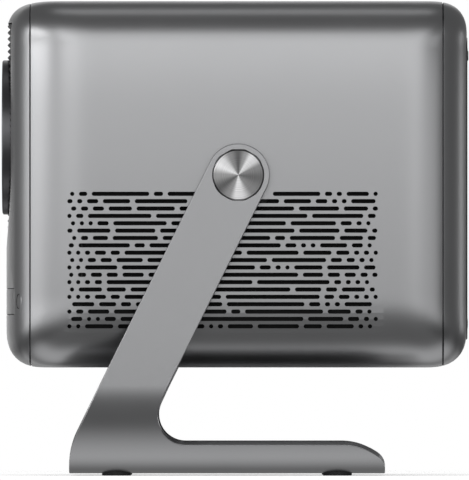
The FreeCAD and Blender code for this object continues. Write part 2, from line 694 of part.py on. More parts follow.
def sockets():
    """Each socket is a box standing on the main board with its mouth at the rear."""
    for name, (middle, wide, high, deep) in SOCKETS.items():
        base = "board_z + board_thick"
        rim = 0.9 if name != "power_inlet" else 2.5
        if name == "audio_socket":
            mouth = bar("audio_mouth", "y", "1.8", ("body_rear - 8", FAR), x=str(middle),
                        z=f"{base} + {high / 2}")
        else:
            mouth = block(f"{name}_mouth", (str(middle - wide / 2 + rim), str(middle + wide / 2 - rim)),
                          ("body_rear - 10", FAR), (f"{base} + {rim}", f"{base} + {high - rim}"))
        cut(name, socket_space(name, "0"), mouth)


def power_button():
    """A small round push button that stands just proud of the rear panel."""
    inside = "body_rear + panel_rear_proud - panel_rear_thick"
    outside = "body_rear + panel_rear_proud + power_proud"
    turned("power_button", "y", [
        (f"{inside} - 2.5", "0", "0"), (outside, "0", "0"), (outside, "power_radius", "0.4"),
        (f"{inside} - 1", "power_radius", "0"), (f"{inside} - 1", "power_radius + 1.5", "0"),
        (f"{inside} - 2.5", "power_radius + 1.5", "0"),
    ], x="power_x", z="power_z")


def power_switch():
    """The tact switch behind the power button, on a small upright board."""
    rest = "body_rear + panel_rear_proud - panel_rear_thick - 2.5 - power_travel - 0.1"
    switch = block("switch_body", ("power_x - 3", "power_x + 3"), (f"{rest} - 4", rest),
                   ("power_z - 3", "power_z + 3"))
    board = block("switch_board", ("power_x - 12", "power_x + 12"), (f"{rest} - 5.6", f"{rest} - 4"),
                  ("power_z - 7", "power_z + 7"))
    posts = [bar(f"switch_post_{number}", "y", "1.5",
                 (f"{rest} - 4", "body_rear + panel_rear_proud - panel_rear_thick"),
                 x=f"power_x + {side * 9}", z="power_z") for number, side in enumerate((-1, 1))]
    fuse("power_switch", switch, board, *posts)


def eject_button():
    """A round push button beside the tray door, with a collar behind the bezel."""
    front, back = "body_front + eject_front", "body_front + eject_back"
    collar = f"{back} - eject_collar_thick"
    turned("eject_button", "y", [
        (front, "0", "0"), (back, "0", "0"), (back, "eject_radius + eject_collar", "0"),
        (collar, "eject_radius + eject_collar", "0"), (collar, "eject_radius", "0"),
        (front, "eject_radius", "0.5"),
    ], x="eject_x", z="eject_z")


def eject_switch():
    """The tact switch behind the eject button, on a board fixed to the loader's side."""
    rest = "body_front + eject_back + eject_travel + 0.1"
    switch = block("eject_tact", ("eject_x - 3", "eject_x + 3"), (rest, f"{rest} + 4"),
                   ("eject_z - 3", "eject_z + 3"))
    board = block("eject_board", ("loader_half", "eject_x + 7"), (f"{rest} + 4", f"{rest} + 5.6"),
                  ("eject_z - 9", "eject_z + 9"))
    fuse("eject_switch", switch, board)


def receiver_window():
    """A small dark window that lets the remote control's light in."""
    span = ("body_front + eject_front", "body_front + window_back")
    bar("receiver_window", "y", "eject_radius - 0.02", span, x="-eject_x", z="eject_z")


# ---------------------------------------------------------------- chassis
def inner_frame():
    """Folded steel frame: a floor plate and two arms that carry the hubs."""
    arms = body("frame_arms")
    inner = "frame_half - frame_thick"
    section = sketch_on(arms, "XZ_Plane", "-(pivot_y + frame_arm / 2)")
    floor = "body_low + wall"
    outline(section, [
        ("-frame_half", "frame_top", "0"), ("-frame_half", floor, "frame_bend"),
        ("frame_half", floor, "frame_bend"), ("frame_half", "frame_top", "0"),
        (inner, "frame_top", "0"), (inner, f"{floor} + frame_thick", "frame_bend - frame_thick"),
        (f"-({inner})", f"{floor} + frame_thick", "frame_bend - frame_thick"),
        (f"-({inner})", "frame_top", "0"),
    ])
    pad(arms, section, "frame_arm")
    floor_plate = plate_on("frame_floor", "XY_Plane", rectangle(
        "-frame_floor_half", "frame_floor_half", "frame_floor_front", "frame_floor_rear", "6"),
        floor, "frame_thick")
    holes = [bar(f"frame_hole_{number}", "z", "9", ("40", "62"), x=str(across), y=str(along))
             for number, (across, along) in enumerate(
                 (x, y) for x in (-48, -16, 16, 48) for y in (-64, -36, 44, 70))]
    cut("inner_frame", fuse("frame_joined", arms, floor_plate), *holes,
        doc.getObject("hub_screws"), doc.getObject("loader_screws"))


def deck_plate():
    """The shelf between the frame's arms that carries the optics and the boards."""
    inner = "frame_half - frame_thick"
    front, rear = "pivot_y - frame_arm / 2", "pivot_y + frame_arm / 2"
    piece = body("deck_sheet")
    shape = sketch_on(piece, "XY_Plane", "deck_z")
    outline(shape, [
        ("-deck_half", "deck_front", "4"), ("deck_half", "deck_front", "4"),
        ("deck_half", front, "0"), (inner, front, "0"), (inner, rear, "0"),
        ("deck_half", rear, "0"), ("deck_half", "deck_rear", "4"),
        ("-deck_half", "deck_rear", "4"), ("-deck_half", rear, "0"), (f"-({inner})", rear, "0"),
        (f"-({inner})", front, "0"), ("-deck_half", front, "0"),
    ])
    pad(piece, shape, "deck_thick")
    top = "deck_z + deck_thick"
    posts = [bar(f"board_post_{number}", "z", "3", (f"{top} - 0.5", "board_z"),
                 x=str(across), y=str(along))
             for number, (across, along) in enumerate(
                 (x, y) for x in (-68, 68) for y in (62, 94))]
    posts += [bar(f"side_post_{number}", "z", "2.5", (f"{top} - 0.5", "board_z"),
                  x=str(across), y=str(along))
              for number, (across, along) in enumerate(
                  (x, y) for x in (-64, 64) for y in (-78, 34))]
    cut("deck_plate", fuse("deck_solid", piece, *posts), doc.getObject("board_screws"))


# ---------------------------------------------------------------- disc loader
def loader_chassis():
    """Open-topped moulded chassis with ledges and hold-down tabs for the tray."""
    half, wall = "loader_half", "loader_wall"
    shell = block("loader_outside", ("-loader_half", half), ("loader_front", "loader_rear"),
                  ("loader_low", "loader_top"))
    inside = block("loader_inside", (f"-({half} - {wall})", f"{half} - {wall}"),
                   ("loader_front - 1", f"loader_rear - {wall}"), (f"loader_low + {wall}", FAR))
    well = block("loader_well", ("-traverse_half - 6", "traverse_half + 6"),
                 ("traverse_front - 3", "hinge_y - 8"), ("50", "70"))
    ledges = []
    for number, side in enumerate((-1, 1)):
        near, far = (f"{side} * ({half} - {wall} + 0.5)", f"{side} * 62")
        low, high = (near, far) if side < 0 else (far, near)
        ledges.append(block(f"tray_ledge_{number}", (low, high), ("loader_front + 3.5", "loader_rear - 6"),
                            ("tray_low - 2.2", "tray_low - 0.2")))
        tab_near, tab_far = (f"{side} * ({half} - {wall} + 0.5)", f"{side} * 63")
        low, high = (tab_near, tab_far) if side < 0 else (tab_far, tab_near)
        for place_in_row, along in enumerate((-94, -50, 6)):
            ledges.append(block(f"tray_tab_{number}_{place_in_row}", (low, high),
                                (str(along), str(along + 10)),
                                ("tray_low + tray_high + 0.25", "tray_low + tray_high + 2.2")))
    bearings = []
    for number, side in enumerate((-1, 1)):
        low, high = sorted((side * 35, side * 40))
        bearings.append(block(f"hinge_block_{number}", (str(low), str(high)),
                              ("hinge_y - 5", "hinge_y + 5"),
                              (f"loader_low + {wall} - 0.5", "hinge_z + 5")))
    post = bar("gear_post", "z", "2", (f"loader_low + {wall} - 0.5", "tray_low - 0.6"),
               x="gear_x", y="gear_y")
    tray_shell = cut("loader_open", shell, inside, well)
    solid_parts = fuse("loader_solid", tray_shell, *ledges, *bearings, post)
    pins = bar("hinge_bores", "x", "hinge_pin + 0.05", ("-60", "60"), y="hinge_y", z="hinge_z")
    cut("loader_chassis", solid_parts, pins, doc.getObject("loader_screws"))


def clamp_bridge():
    """The bar across the loader's top that holds the disc clamper."""
    half = "loader_half"
    beam = plate_on("bridge_beam", "XY_Plane", rectangle(
        f"-{half}", half, "disc_y - 22", "disc_y + 22", "3"), "loader_top", "2")
    hole = bar("bridge_hole", "z", "13", ("90", "110"), y="disc_y")
    cut("clamp_bridge", beam, hole)


def disc_clamper():
    """Round clamper that hangs loose in the bridge and presses the disc down."""
    rest = "loader_top + clamper_ease"
    top = f"{rest} + clamper_head_thick"
    turned("disc_clamper", "z", [
        ("clamper_low", "0", "0"), (top, "0", "0"), (top, "clamper_head", "0.4"),
        (rest, "clamper_head", "0"), (rest, "clamper_neck", "0"),
        ("clamper_foot_top", "clamper_neck", "0"), ("clamper_foot_top", "clamper_foot", "0"),
        ("clamper_low", "clamper_foot", "0.6"),
    ], y="disc_y")


def disc_tray():
    """The tray: two disc recesses, a slot open to the rear, and a rack under one edge."""
    piece = body("tray_plate")
    plan = sketch_on(piece, "XY_Plane", "tray_low")
    outline(plan, [
        ("-tray_half", "door_back", "0"), ("tray_half", "door_back", "0"),
        ("tray_half", "tray_rear", "5"), ("slot_half", "tray_rear", "2"),
        ("slot_half", "disc_y - 20", "12"), ("-slot_half", "disc_y - 20", "12"),
        ("-slot_half", "tray_rear", "2"), ("-tray_half", "tray_rear", "5"),
    ])
    pad(piece, plan, "tray_high")
    top = "tray_low + tray_high"
    large = bar("large_recess", "z", "recess_radius", (f"{top} - recess_deep", FAR), y="disc_y")
    small = bar("small_recess", "z", "small_recess_radius", (f"{top} - recess_deep - 1.2", FAR), y="disc_y")
    cuts = fuse("tray_recesses", large, small)
    plate = cut("tray_plain", piece, cuts)
    solid("disc_tray", tray_with_rack(plate))


def rack_teeth():
    """The rack's toothed strip: straight flanks at 20 degrees, as a gear's rack has."""
    module = size("gear_module")
    pitch = math.pi * module
    line = size("gear_x - gear_teeth * gear_module / 2")
    first, last = size("gear_y") - 4.5 * pitch, size("tray_rear") - 2 * pitch
    slope = math.tan(math.radians(20))
    tip, root = line + 0.9 * module, line - 1.2 * module
    thick = 0.46 * pitch
    points = [Vector(root - 3, first - pitch / 2, 0), Vector(root, first - pitch / 2, 0)]
    along = first
    while along < last:
        for reach, across in ((1.2, root), (-0.9, tip), (-0.9, tip), (1.2, root)):
            points.append((across, along, reach))
        along += pitch
    rows = points[:2]
    for number, (across, middle, reach) in enumerate(points[2:]):
        side = -1 if number % 4 < 2 else 1
        rows.append(Vector(across, middle + side * (thick / 2 + reach * module * slope), 0))
    rows += [Vector(root, along - pitch / 2, 0), Vector(root - 3, along - pitch / 2, 0)]
    face = Part.Face(Part.makePolygon(rows + rows[:1]))
    face.translate(Vector(0, 0, size("gear_low")))
    return face.extrude(Vector(0, 0, size("tray_low - gear_low") + 0.5))


def tray_with_rack(plate):
    """The tray plate and its rack as one moulding."""
    doc.recompute()
    return plate.Shape.fuse(rack_teeth()).removeSplitter()


def tray_door():
    """The door on the tray's front, its face flush with the crowned bezel."""
    slab = block("door_slab", ("-door_half", "door_half"), ("-" + FAR, "door_back"),
                 ("door_low", "door_low + door_high"))
    common("tray_door", outer_form, slab)


def gear_outline(teeth, module, backlash=0.12):
    """A gear's outline: three points on each involute flank, flat tips and roots."""
    pitch_radius = teeth * module / 2
    base = pitch_radius * math.cos(math.radians(20))
    tip, root = pitch_radius + 0.9 * module, pitch_radius - 1.2 * module
    involute = math.tan(math.radians(20)) - math.radians(20)
    half = math.pi / (2 * teeth) - backlash / (2 * pitch_radius) + involute
    points = []
    for tooth in range(teeth):
        middle = 2 * math.pi * tooth / teeth
        flank = []
        for radius in (max(root, base), pitch_radius, tip):
            roll = math.acos(min(1, base / radius))
            flank.append((radius, half - (math.tan(roll) - roll)))
        flank = [(root, flank[0][1])] + flank if root < base else flank
        for radius, away in flank:
            points.append(Vector(radius * math.cos(middle - away), radius * math.sin(middle - away), 0))
        for radius, away in reversed(flank):
            points.append(Vector(radius * math.cos(middle + away), radius * math.sin(middle + away), 0))
    return Part.makePolygon(points + points[:1])


def drive_gear():
    """A pinion on a belt pulley, one moulding turning on the chassis post."""
    teeth, module = int(size("gear_teeth")), size("gear_module")
    pinion = Part.Face(gear_outline(teeth, module)).extrude(Vector(0, 0, size("tray_low - gear_low") - 0.3))
    pinion.rotate(Vector(), Vector(0, 0, 1), gear_phase())
    pinion.translate(Vector(size("gear_x"), size("gear_y"), size("gear_low")))
    pulley = grooved("gear_x", "gear_y", "pulley_radius", 5, "gear_low + 0.2")
    shape = pulley.fuse(pinion)
    shape = shape.cut(Part.makeCylinder(2.05, 40, Vector(size("gear_x"), size("gear_y"), 50)))
    solid("drive_gear", shape)


def gear_phase():
    """The turn that sets a tooth gap of the pinion opposite a tooth of the rack."""
    module, teeth = size("gear_module"), size("gear_teeth")
    pitch = math.pi * module
    first = size("gear_y") - 4.5 * pitch
    offset = (first - size("gear_y")) / pitch
    gap = 0.5 - (offset - math.floor(offset))
    return 180 + math.degrees(2 * math.pi / teeth * gap)


def grooved(x, y, radius, hub, top):
    """A pulley with a V groove for a round belt, and a hub that rises to a level."""
    low, high, rim = size("pulley_low"), size(top), size(radius)
    middle = low + size("pulley_high") / 2
    deep = size("groove_deep")
    profile = [Vector(0, 0, low), Vector(rim, 0, low), Vector(rim, 0, middle - deep),
               Vector(rim - deep, 0, middle), Vector(rim, 0, middle + deep),
               Vector(rim, 0, low + size("pulley_high")), Vector(hub, 0, low + size("pulley_high")),
               Vector(hub, 0, high), Vector(0, 0, high)]
    turned_shape = Part.Face(Part.makePolygon(profile + profile[:1])).revolve(
        Vector(), Vector(0, 0, 1), 360)
    turned_shape.translate(Vector(size(x), size(y), 0))
    return turned_shape


def loading_motor():
    """Small can motor that stands on the loader's floor."""
    floor = "loader_low + loader_wall"
    can = bar("motor_can", "z", "motor_radius", (floor, "pulley_low - 2"), x="motor_x", y="motor_y")
    boss = bar("motor_boss", "z", "3", ("pulley_low - 2.5", "pulley_low - 0.4"), x="motor_x", y="motor_y")
    bore = bar("motor_bore", "z", "1.05", ("pulley_low - 8", FAR), x="motor_x", y="motor_y")
    cut("loading_motor", fuse("motor_solid", can, boss), bore)


def motor_pulley():
    """Pulley and shaft of the loading motor."""
    wheel = grooved("motor_x", "motor_y", "motor_pulley_radius", 2, "pulley_low + 5.5")
    spot = Vector(size("motor_x"), size("motor_y"), size("pulley_low") - 7)
    solid("motor_pulley", wheel.fuse(Part.makeCylinder(1, 8, spot)))


def drive_belt():
    """Round rubber belt round both pulleys: two straight runs and two arcs."""
    level = size("pulley_low + pulley_high / 2")
    small = Vector(size("motor_x"), size("motor_y"), level)
    large = Vector(size("gear_x"), size("gear_y"), level)
    radius_small, radius_large = size("motor_pulley_radius + 0.05"), size("pulley_radius + 0.05")
    line = large - small
    aim = math.atan2(line.y, line.x)
    spread = math.acos((radius_small - radius_large) / line.Length)

    def at(centre, radius, angle):
        return centre + Vector(math.cos(angle), math.sin(angle), 0) * radius

    low_small, high_small = at(small, radius_small, aim + spread), at(small, radius_small, aim - spread)
    low_large, high_large = at(large, radius_large, aim + spread), at(large, radius_large, aim - spread)
    path = Part.Wire([
        Part.Arc(low_small, at(small, radius_small, aim + math.pi), high_small).toShape(),
        Part.LineSegment(high_small, high_large).toShape(),
        Part.Arc(high_large, at(large, radius_large, aim), low_large).toShape(),
        Part.LineSegment(low_large, low_small).toShape(),
    ])
    along = Vector(math.cos(aim + spread + math.pi / 2), math.sin(aim + spread + math.pi / 2), 0)
    ring = Part.Wire(Part.makeCircle(size("belt_radius"), low_small, along))
    solid("drive_belt", path.makePipeShell([ring], True, False))


# ---------------------------------------------------------------- disc traverse
def traverse_frame():
    """Metal plate hinged at the rear; it lifts the turntable into the tray's slot."""
    plate = plate_on("traverse_plate", "XY_Plane", rectangle(
        "-traverse_half", "traverse_half", "traverse_front", "traverse_rear", "4"),
        "traverse_z", "traverse_thick")
    top = "traverse_z + traverse_thick"
    window = block("sled_window", ("-26", "26"), ("sled_front - 1", "39"), ("60", "80"))
    sleeve = bar("spindle_hole", "z", "4.1", ("60", "80"), y="disc_y")
    parts = [bar("hinge_shaft", "x", "hinge_pin", ("-39.5", "39.5"), y="hinge_y", z="hinge_z")]
    for number, side in enumerate((-1, 1)):
        for end, (front, rear) in enumerate(((-26, -22), (40, 44))):
            low, high = sorted((side * 16, side * 22))
            parts.append(block(f"rod_block_{number}_{end}", (str(low), str(high)),
                               (str(front), str(rear)), (f"{top} - 0.5", "rod_z + 2.5")))
    parts.append(block("screw_block", ("screw_x - 2", "screw_x + 2"), ("-22", "-18"),
                       (f"{top} - 0.5", "screw_z + 2.4")))
    bores = [bar(f"rod_bore_{number}", "y", "rod_radius + 0.02", ("-26.5", "44.5"),
                 x=f"{side} * rod_across", z="rod_z") for number, side in enumerate((-1, 1))]
    bores.append(bar("screw_bore", "y", "screw_radius + 0.05", ("-22.5", "-17"), x="screw_x", z="screw_z"))
    open_plate = cut("traverse_open", plate, window, sleeve)
    cut("traverse_frame", fuse("traverse_solid", open_plate, *parts), *bores)


def guide_rods():
    """The two polished rods the sled runs on."""
    rods = [bar(f"guide_rod_{number}", "y", "rod_radius", ("-26", "44"),
                x=f"{side} * rod_across", z="rod_z")
            for number, side in enumerate((-1, 1))]
    group("guide_rods", *rods)


def spindle_motor():
    """Flat motor under the traverse plate with its bearing sleeve and winding core above."""
    bore, well = "shaft_radius + shaft_ease", "shaft_low - 0.2"
    winding_low = "traverse_z + 4"
    turned("spindle_motor", "z", [
        ("spindle_low", "0", "0"), ("spindle_low", "spindle_radius", "0.6"),
        ("traverse_z", "spindle_radius", "0"), ("traverse_z", "bearing_radius", "0"),
        (winding_low, "bearing_radius", "0"), (winding_low, "winding_radius", "0"),
        ("winding_top", "winding_radius", "0"), ("winding_top", "bearing_radius", "0"),
        ("bearing_top", "bearing_radius", "0"), ("bearing_top", bore, "0"), (well, bore, "0"),
        (well, "0", "0"),
    ], y="disc_y")


def turntable():
    """Rotor bell, disc platter and centring cone on one shaft."""
    turned("turntable", "z", [
        ("shaft_low", "0", "0"), ("cone_top", "0", "0"), ("cone_top", "cone_radius - 1.9", "0.8"),
        ("platter_top + 0.2", "cone_radius", "0"), ("platter_top", "platter_radius", "0.4"),
        ("platter_low", "platter_radius", "0"), ("platter_low", "bell_radius", "0"),
        ("bell_low", "bell_radius", "0"), ("bell_low", "bell_inner", "0"),
        ("bell_under", "bell_inner", "0"), ("bell_under", "shaft_radius", "0"),
        ("shaft_low", "shaft_radius", "0"),
    ], y="disc_y")


def laser_sled():
    """The pickup's carriage on the rods, with its turret and the finger for the lead screw."""
    front, rear = "sled_front", "sled_front + sled_long"
    base = block("sled_base", ("-sled_half", "sled_half"), (front, rear), ("sled_low", "sled_top"))
    turret = block("sled_turret", ("-turret_half", "turret_half"), (f"{front} + 2", f"{front} + 18"),
                   ("sled_top - 0.4", "turret_top"))
    finger = block("sled_finger", ("sled_half - 1", "screw_x - screw_radius - 0.25"),
                   (f"{front} + 8", f"{front} + 16"), ("75", "79"))
    bores = [bar(f"sled_bore_{number}", "y", "rod_radius + 0.05", ("-40", "40"),
                 x=f"{side} * rod_across", z="rod_z") for number, side in enumerate((-1, 1))]
    cut("laser_sled", fuse("sled_solid", base, turret, finger), *bores)


def pickup_lens():
    """The small lens on top of the sled's turret."""
    top = "turret_top + pickup_high"
    turned("pickup_lens", "z", [("turret_top", "0", "0"), (top, "0", "0"), (top, "3", "0.7"),
                                ("turret_top", "3", "0")], y="sled_front + 9")


def lead_screw():
    """The screw that drives the sled; its thread is left smooth."""
    bar("lead_screw", "y", "screw_radius", ("screw_front", "screw_rear"), x="screw_x", z="screw_z")


def sled_motor():
    """Small motor at the rear of the traverse that turns the lead screw."""
    bar("sled_motor", "y", "sled_motor_radius", ("sled_motor_front", "sled_motor_rear"),
        x="screw_x", z="screw_z")


# ---------------------------------------------------------------- optics
def light_engine():
    """The optical block on four legs, bored in front for the lens."""
    block_body = plate_on("engine_block", "XY_Plane", rectangle(
        "-engine_half", "engine_half", "engine_front", "engine_rear", "engine_round"),
        "engine_low", "engine_top - engine_low")
    legs = [bar(f"engine_leg_{number}", "z", "5", ("deck_z + deck_thick", "engine_low + 0.5"),
                x=str(across), y=str(along))
            for number, (across, along) in enumerate((x, y) for x in (-40, 40) for y in (-50, 44))]
    bore = bar("engine_bore", "y", "barrel_bore", ("engine_front - 1", "engine_front + 16"), z="lens_z")
    cut("light_engine", fuse("engine_solid", block_body, *legs), bore)


def lens_barrel():
    """The fixed outer barrel on its flange."""
    turned("lens_barrel", "y", [
        ("engine_front", "barrel_bore", "0"), ("engine_front", "flange_radius", "0"),
        ("barrel_rear", "flange_radius", "0"),
        ("barrel_rear", "barrel_radius", "0"), ("barrel_front", "barrel_radius", "0.8"),
        ("barrel_front", "barrel_bore", "0"),
    ], z="lens_z")


def focus_barrel():
    """The inner barrel that slides to focus; it holds both lens groups."""
    outside = "barrel_bore - focus_ease"
    turned("focus_barrel", "y", [
        ("focus_front", outside, "0.6"), ("focus_front", "focus_mouth", "0"),
        ("focus_front + 16", "focus_mouth", "0"), ("focus_front + 16", "focus_lip", "0"),
        ("focus_front + 17", "focus_lip", "0"), ("focus_front + 17", "focus_seat", "0"),
        ("focus_rear", "focus_seat", "0"), ("focus_rear", outside, "0"),
    ], z="lens_z")


def lens_element(label, middle, radius, curve, thick):
    """A glass element: two equal spherical faces on a round edge, looking along Y."""
    spot = Vector(0, middle, size("lens_z"))
    away = Vector(0, curve - thick / 2, 0)
    front = Part.makeSphere(curve, spot + away)
    rear = Part.makeSphere(curve, spot - away)
    edge = Part.makeCylinder(radius, thick, spot - Vector(0, thick / 2, 0), Vector(0, 1, 0))
    solid(label, front.common(rear).common(edge))


def lenses():
    """The front glass and the group behind it."""
    lens_element("front_lens", -95.5, 22.48, 60, 14)
    lens_element("middle_lens", -81, 17.98, 55, 10)


def light_source():
    """The lamp module behind the engine: laser bank on a copper plate."""
    block("light_source", ("-30", "30"), ("engine_rear", "engine_rear + 10"), ("140", "196"))


def heatsink():
    """Finned aluminium sink on the lamp module's rear."""
    piece = body("heatsink")
    rear = "engine_rear + 10"
    base = sketch_on(piece, "XZ_Plane", f"-({rear} + 5)")
    outline(base, rectangle("-44", "44", "136", "200"))
    pad(piece, base, "5")
    fin = sketch_on(piece, "XZ_Plane", f"-({rear} + 28)")
    outline(fin, rectangle("-44", "-42.6", "136", "200"))
    first = pad(piece, fin, "23.5")
    row = piece.newObject("PartDesign::LinearPattern", "heatsink_fins")
    row.Originals = [first]
    row.Direction = (fin, ["H_Axis"])
    row.Length = 86.6
    row.Occurrences = 15
    piece.Tip = row


# ---------------------------------------------------------------- air and sound
def dust_filters():
    """Fine mesh sheets behind the vents, drawn as thin plates round the pivot's seat."""
    face = "body_wide / 2 - wall"
    sheet_ = block("filter_sheet", (f"{face} - filter_thick", face), ("filter_front", "filter_rear"),
                   ("filter_low", "vent_top + 1.5"))
    seat = bar("filter_notch", "x", "hub_flange_radius + 1.5", ("0", FAR), y="pivot_y", z="pivot_z")
    both_sides("dust_filters", cut("dust_filter", sheet_, seat))


def fan_frames():
    """Square frames with a round duct and four struts to the motor's seat."""
    outer = "body_wide / 2 - wall - filter_thick"
    inner = f"{outer} - fan_thick"
    frame = block("fan_square", (inner, outer), ("fan_y - fan_size / 2", "fan_y + fan_size / 2"),
                  ("fan_z - fan_size / 2", "fan_z + fan_size / 2"))
    duct = bar("fan_duct", "x", "fan_hole", (f"{inner} - 1", f"{outer} + 1"), y="fan_y", z="fan_z")
    seat = bar("fan_seat", "x", "fan_hub", (inner, f"{inner} + 2"), y="fan_y", z="fan_z")
    struts = [block("fan_strut_up", (inner, f"{inner} + 2"), ("fan_y - 1.5", "fan_y + 1.5"),
                    ("fan_z - fan_size / 2 + 1", "fan_z + fan_size / 2 - 1")),
              block("fan_strut_along", (inner, f"{inner} + 2"),
                    ("fan_y - fan_size / 2 + 1", "fan_y + fan_size / 2 - 1"),
                    ("fan_z - 1.5", "fan_z + 1.5"))]
    open_frame = cut("fan_open", frame, duct)
    whole = fuse("fan_whole", open_frame, seat, *struts)
    bore = bar("fan_bore", "x", "1.55", (f"{inner} - 1", f"{inner} + 3"), y="fan_y", z="fan_z")
    both_sides("fan_frames", cut("fan_frame", whole, bore))


def fan_wheels():
    """The wheel of each fan; the two are mirror images."""
    fan_wheel("left_fan", 1)
    fan_wheel("right_fan", -1)


def fan_wheel(label, side):
    """One fan wheel: hub, shaft and pitched blades in a ring."""
    outer = size("body_wide / 2 - wall - filter_thick")
    inner = outer - size("fan_thick")
    hub = Part.makeCylinder(size("fan_hub"), 10, Vector(inner + 2.6, 0, 0), Vector(1, 0, 0))
    shaft = Part.makeCylinder(1.5, 3, Vector(inner + 0.2, 0, 0), Vector(1, 0, 0))
    wheel = hub.fuse(shaft)
    for number in range(int(size("blades"))):
        blade = Part.makeBox(1.4, 8, size("blade_radius - fan_hub") + 1, Vector(-0.7, -4, 0))
        blade.rotate(Vector(), Vector(0, 0, 1), -52)
        blade.translate(Vector(inner + 7.6, 0, size("fan_hub") - 1))
        blade.rotate(Vector(), Vector(1, 0, 0), 360 / size("blades") * number)
        wheel = wheel.fuse(blade)
    tip = Part.makeCylinder(size("blade_radius"), 40, Vector(inner - 2, 0, 0), Vector(1, 0, 0))
    wheel = wheel.common(tip)
    wheel.translate(Vector(0, size("fan_y"), size("fan_z")))
    if side < 0:
        wheel = wheel.mirror(Vector(), Vector(1, 0, 0))
    solid(label, wheel)


SPEAKER_FACE = "body_wide / 2 - wall - filter_thick"


def speaker_frames():
    """Round steel baskets behind the vents, each an open cone with a flat rim."""
    face = SPEAKER_FACE
    basket = turned("speaker_frame", "x", [
        (face, "speaker_radius - 3", "0"), (face, "speaker_radius", "0"),
        (f"{face} - 1.6", "speaker_radius", "0"), (f"{face} - 1.6", "speaker_radius - 2", "0"),
        (f"{face} - 13", "14", "0"), (f"{face} - 15", "14", "0"), (f"{face} - 15", "6", "0"),
        (f"{face} - 13.4", "6", "0"), (f"{face} - 13.4", "12.6", "0"),
    ], y="speaker_y", z="speaker_z")
    both_sides("speaker_frames", basket)


def speaker_cones():
    """Paper cones with a dust cap in the baskets."""
    face = SPEAKER_FACE
    cone = turned("speaker_cone", "x", [
        (f"{face} - 0.2", "speaker_radius - 3.18", "0"), (f"{face} - 11", "5.6", "0"),
        (f"{face} - 9", "0", "0"), (f"{face} - 12", "0", "0"), (f"{face} - 12", "5.6", "0"),
        (f"{face} - 1.4", "speaker_radius - 4.11", "0"),
    ], y="speaker_y", z="speaker_z")
    both_sides("speaker_cones", cone)


def speaker_magnets():
    """The magnets behind the baskets."""
    face = SPEAKER_FACE
    magnet = bar("speaker_magnet", "x", "14", (f"{face} - 21.4", f"{face} - 15"),
                 y="speaker_y", z="speaker_z")
    both_sides("speaker_magnets", magnet)


# ---------------------------------------------------------------- boards
def main_board():
    """Circuit board on the deck's rear posts, with its chips and a small heat spreader."""
    board = plate_on("board_sheet", "XY_Plane", rectangle(
        "-board_half", "board_half", "board_front", "board_rear + 9", "2"), "board_z", "board_thick")
    top = "board_z + board_thick"
    chips = [block(f"chip_{number}", (str(x), str(x + wide)), (str(y), str(y + deep)),
                   (f"{top} - 0.2", f"{top} + {high}"))
             for number, (x, y, wide, deep, high) in enumerate((
                 (-30, 66, 26, 26, 7), (6, 68, 16, 12, 1.8), (28, 66, 12, 16, 1.8), (48, 68, 14, 14, 3)))]
    cut("main_board", fuse("board_solid", board, *chips), doc.getObject("board_screws"))


def side_boards():
    """The power supply at -X and the lamp driver at +X, each with its tall parts."""
    for name, side, parts in (
            ("power_supply", -1, (("box", 11, -30, 20, 26, 22), ("can", 7, 12, 24), ("can", 7, 28, 24))),
            ("lamp_driver", 1, (("box", 12, -20, 18, 18, 12), ("can", 5, 8, 14), ("can", 5, 22, 14)))):
        low, high = sorted((side * 50.5, side * 76))
        board = block(name + "_board", (str(low), str(high)), ("-82", "38"),
                      ("board_z", "board_z + board_thick"))
        items = [board]
        base = "board_z + board_thick - 0.2"
        for number, (kind, *numbers) in enumerate(parts):
            if kind == "box":
                half, front, wide, deep, tall = numbers
                items.append(block(f"{name}_block_{number}",
                                   (str(side * 63 - half), str(side * 63 + half)),
                                   (str(front), str(front + deep)), (base, f"{base} + {tall}")))
            else:
                radius, along, tall = numbers
                items.append(bar(f"{name}_can_{number}", "z", str(radius), (base, f"{base} + {tall}"),
                                 x=str(side * 63), y=str(along)))
        fuse(name, *items)


# ---------------------------------------------------------------- screws
def screw(label, axis, spot, head, shank, out=1):
    """A pan-head screw: head and shank along one axis."""
    x, y, z = spot
    radius, high = head
    thin, long = shank
    place_ = {"x": x, "y": y, "z": z}
    seat = place_[axis]
    ends = (seat, seat + out * high), (seat - out * long, seat)
    spots = {way: str(place_[way]) for way in "xyz" if way != axis}
    pieces = [bar(f"{label}_{kind}", axis, str(radius_), tuple(str(v) for v in sorted(span)), **spots)
              for kind, radius_, span in (("head", radius, ends[0]), ("shank", thin, ends[1]))]
    return fuse(label, *pieces)


def hub_screws():
    """Three screws through each hub's flange into the frame arm."""
    seat = size("frame_half + hub_flange_thick")
    screws = []
    for number in range(3):
        angle = math.radians(90 + 120 * number)
        y = size("pivot_y") + 15.3 * math.cos(angle)
        z = size("pivot_z") + 15.3 * math.sin(angle)
        screws.append(screw(f"hub_screw_{number}", "x", (seat, y, z), (2, 1.2), (1, 3.8)))
    both_sides("hub_screws", group("hub_screw_ring", *screws))


def loader_screws():
    """Four screws through the loader's floor into the frame."""
    top = size("loader_low + loader_wall")
    screws = [screw(f"loader_screw_{number}", "z", (x, y, top), (3, 2), (1.3, 4.2))
              for number, (x, y) in enumerate((x, y) for x in (-64, 64) for y in (-78, 54))]
    group("loader_screws", *screws)


def board_screws():
    """Screws that hold the main board to the deck's posts."""
    top = size("board_z + board_thick")
    screws = [screw(f"board_screw_{number}", "z", (x, y, top), (2.8, 1.8), (1.2, 5))
              for number, (x, y) in enumerate((x, y) for x in (-68, 68) for y in (62, 94))]
    group("board_screws", *screws)


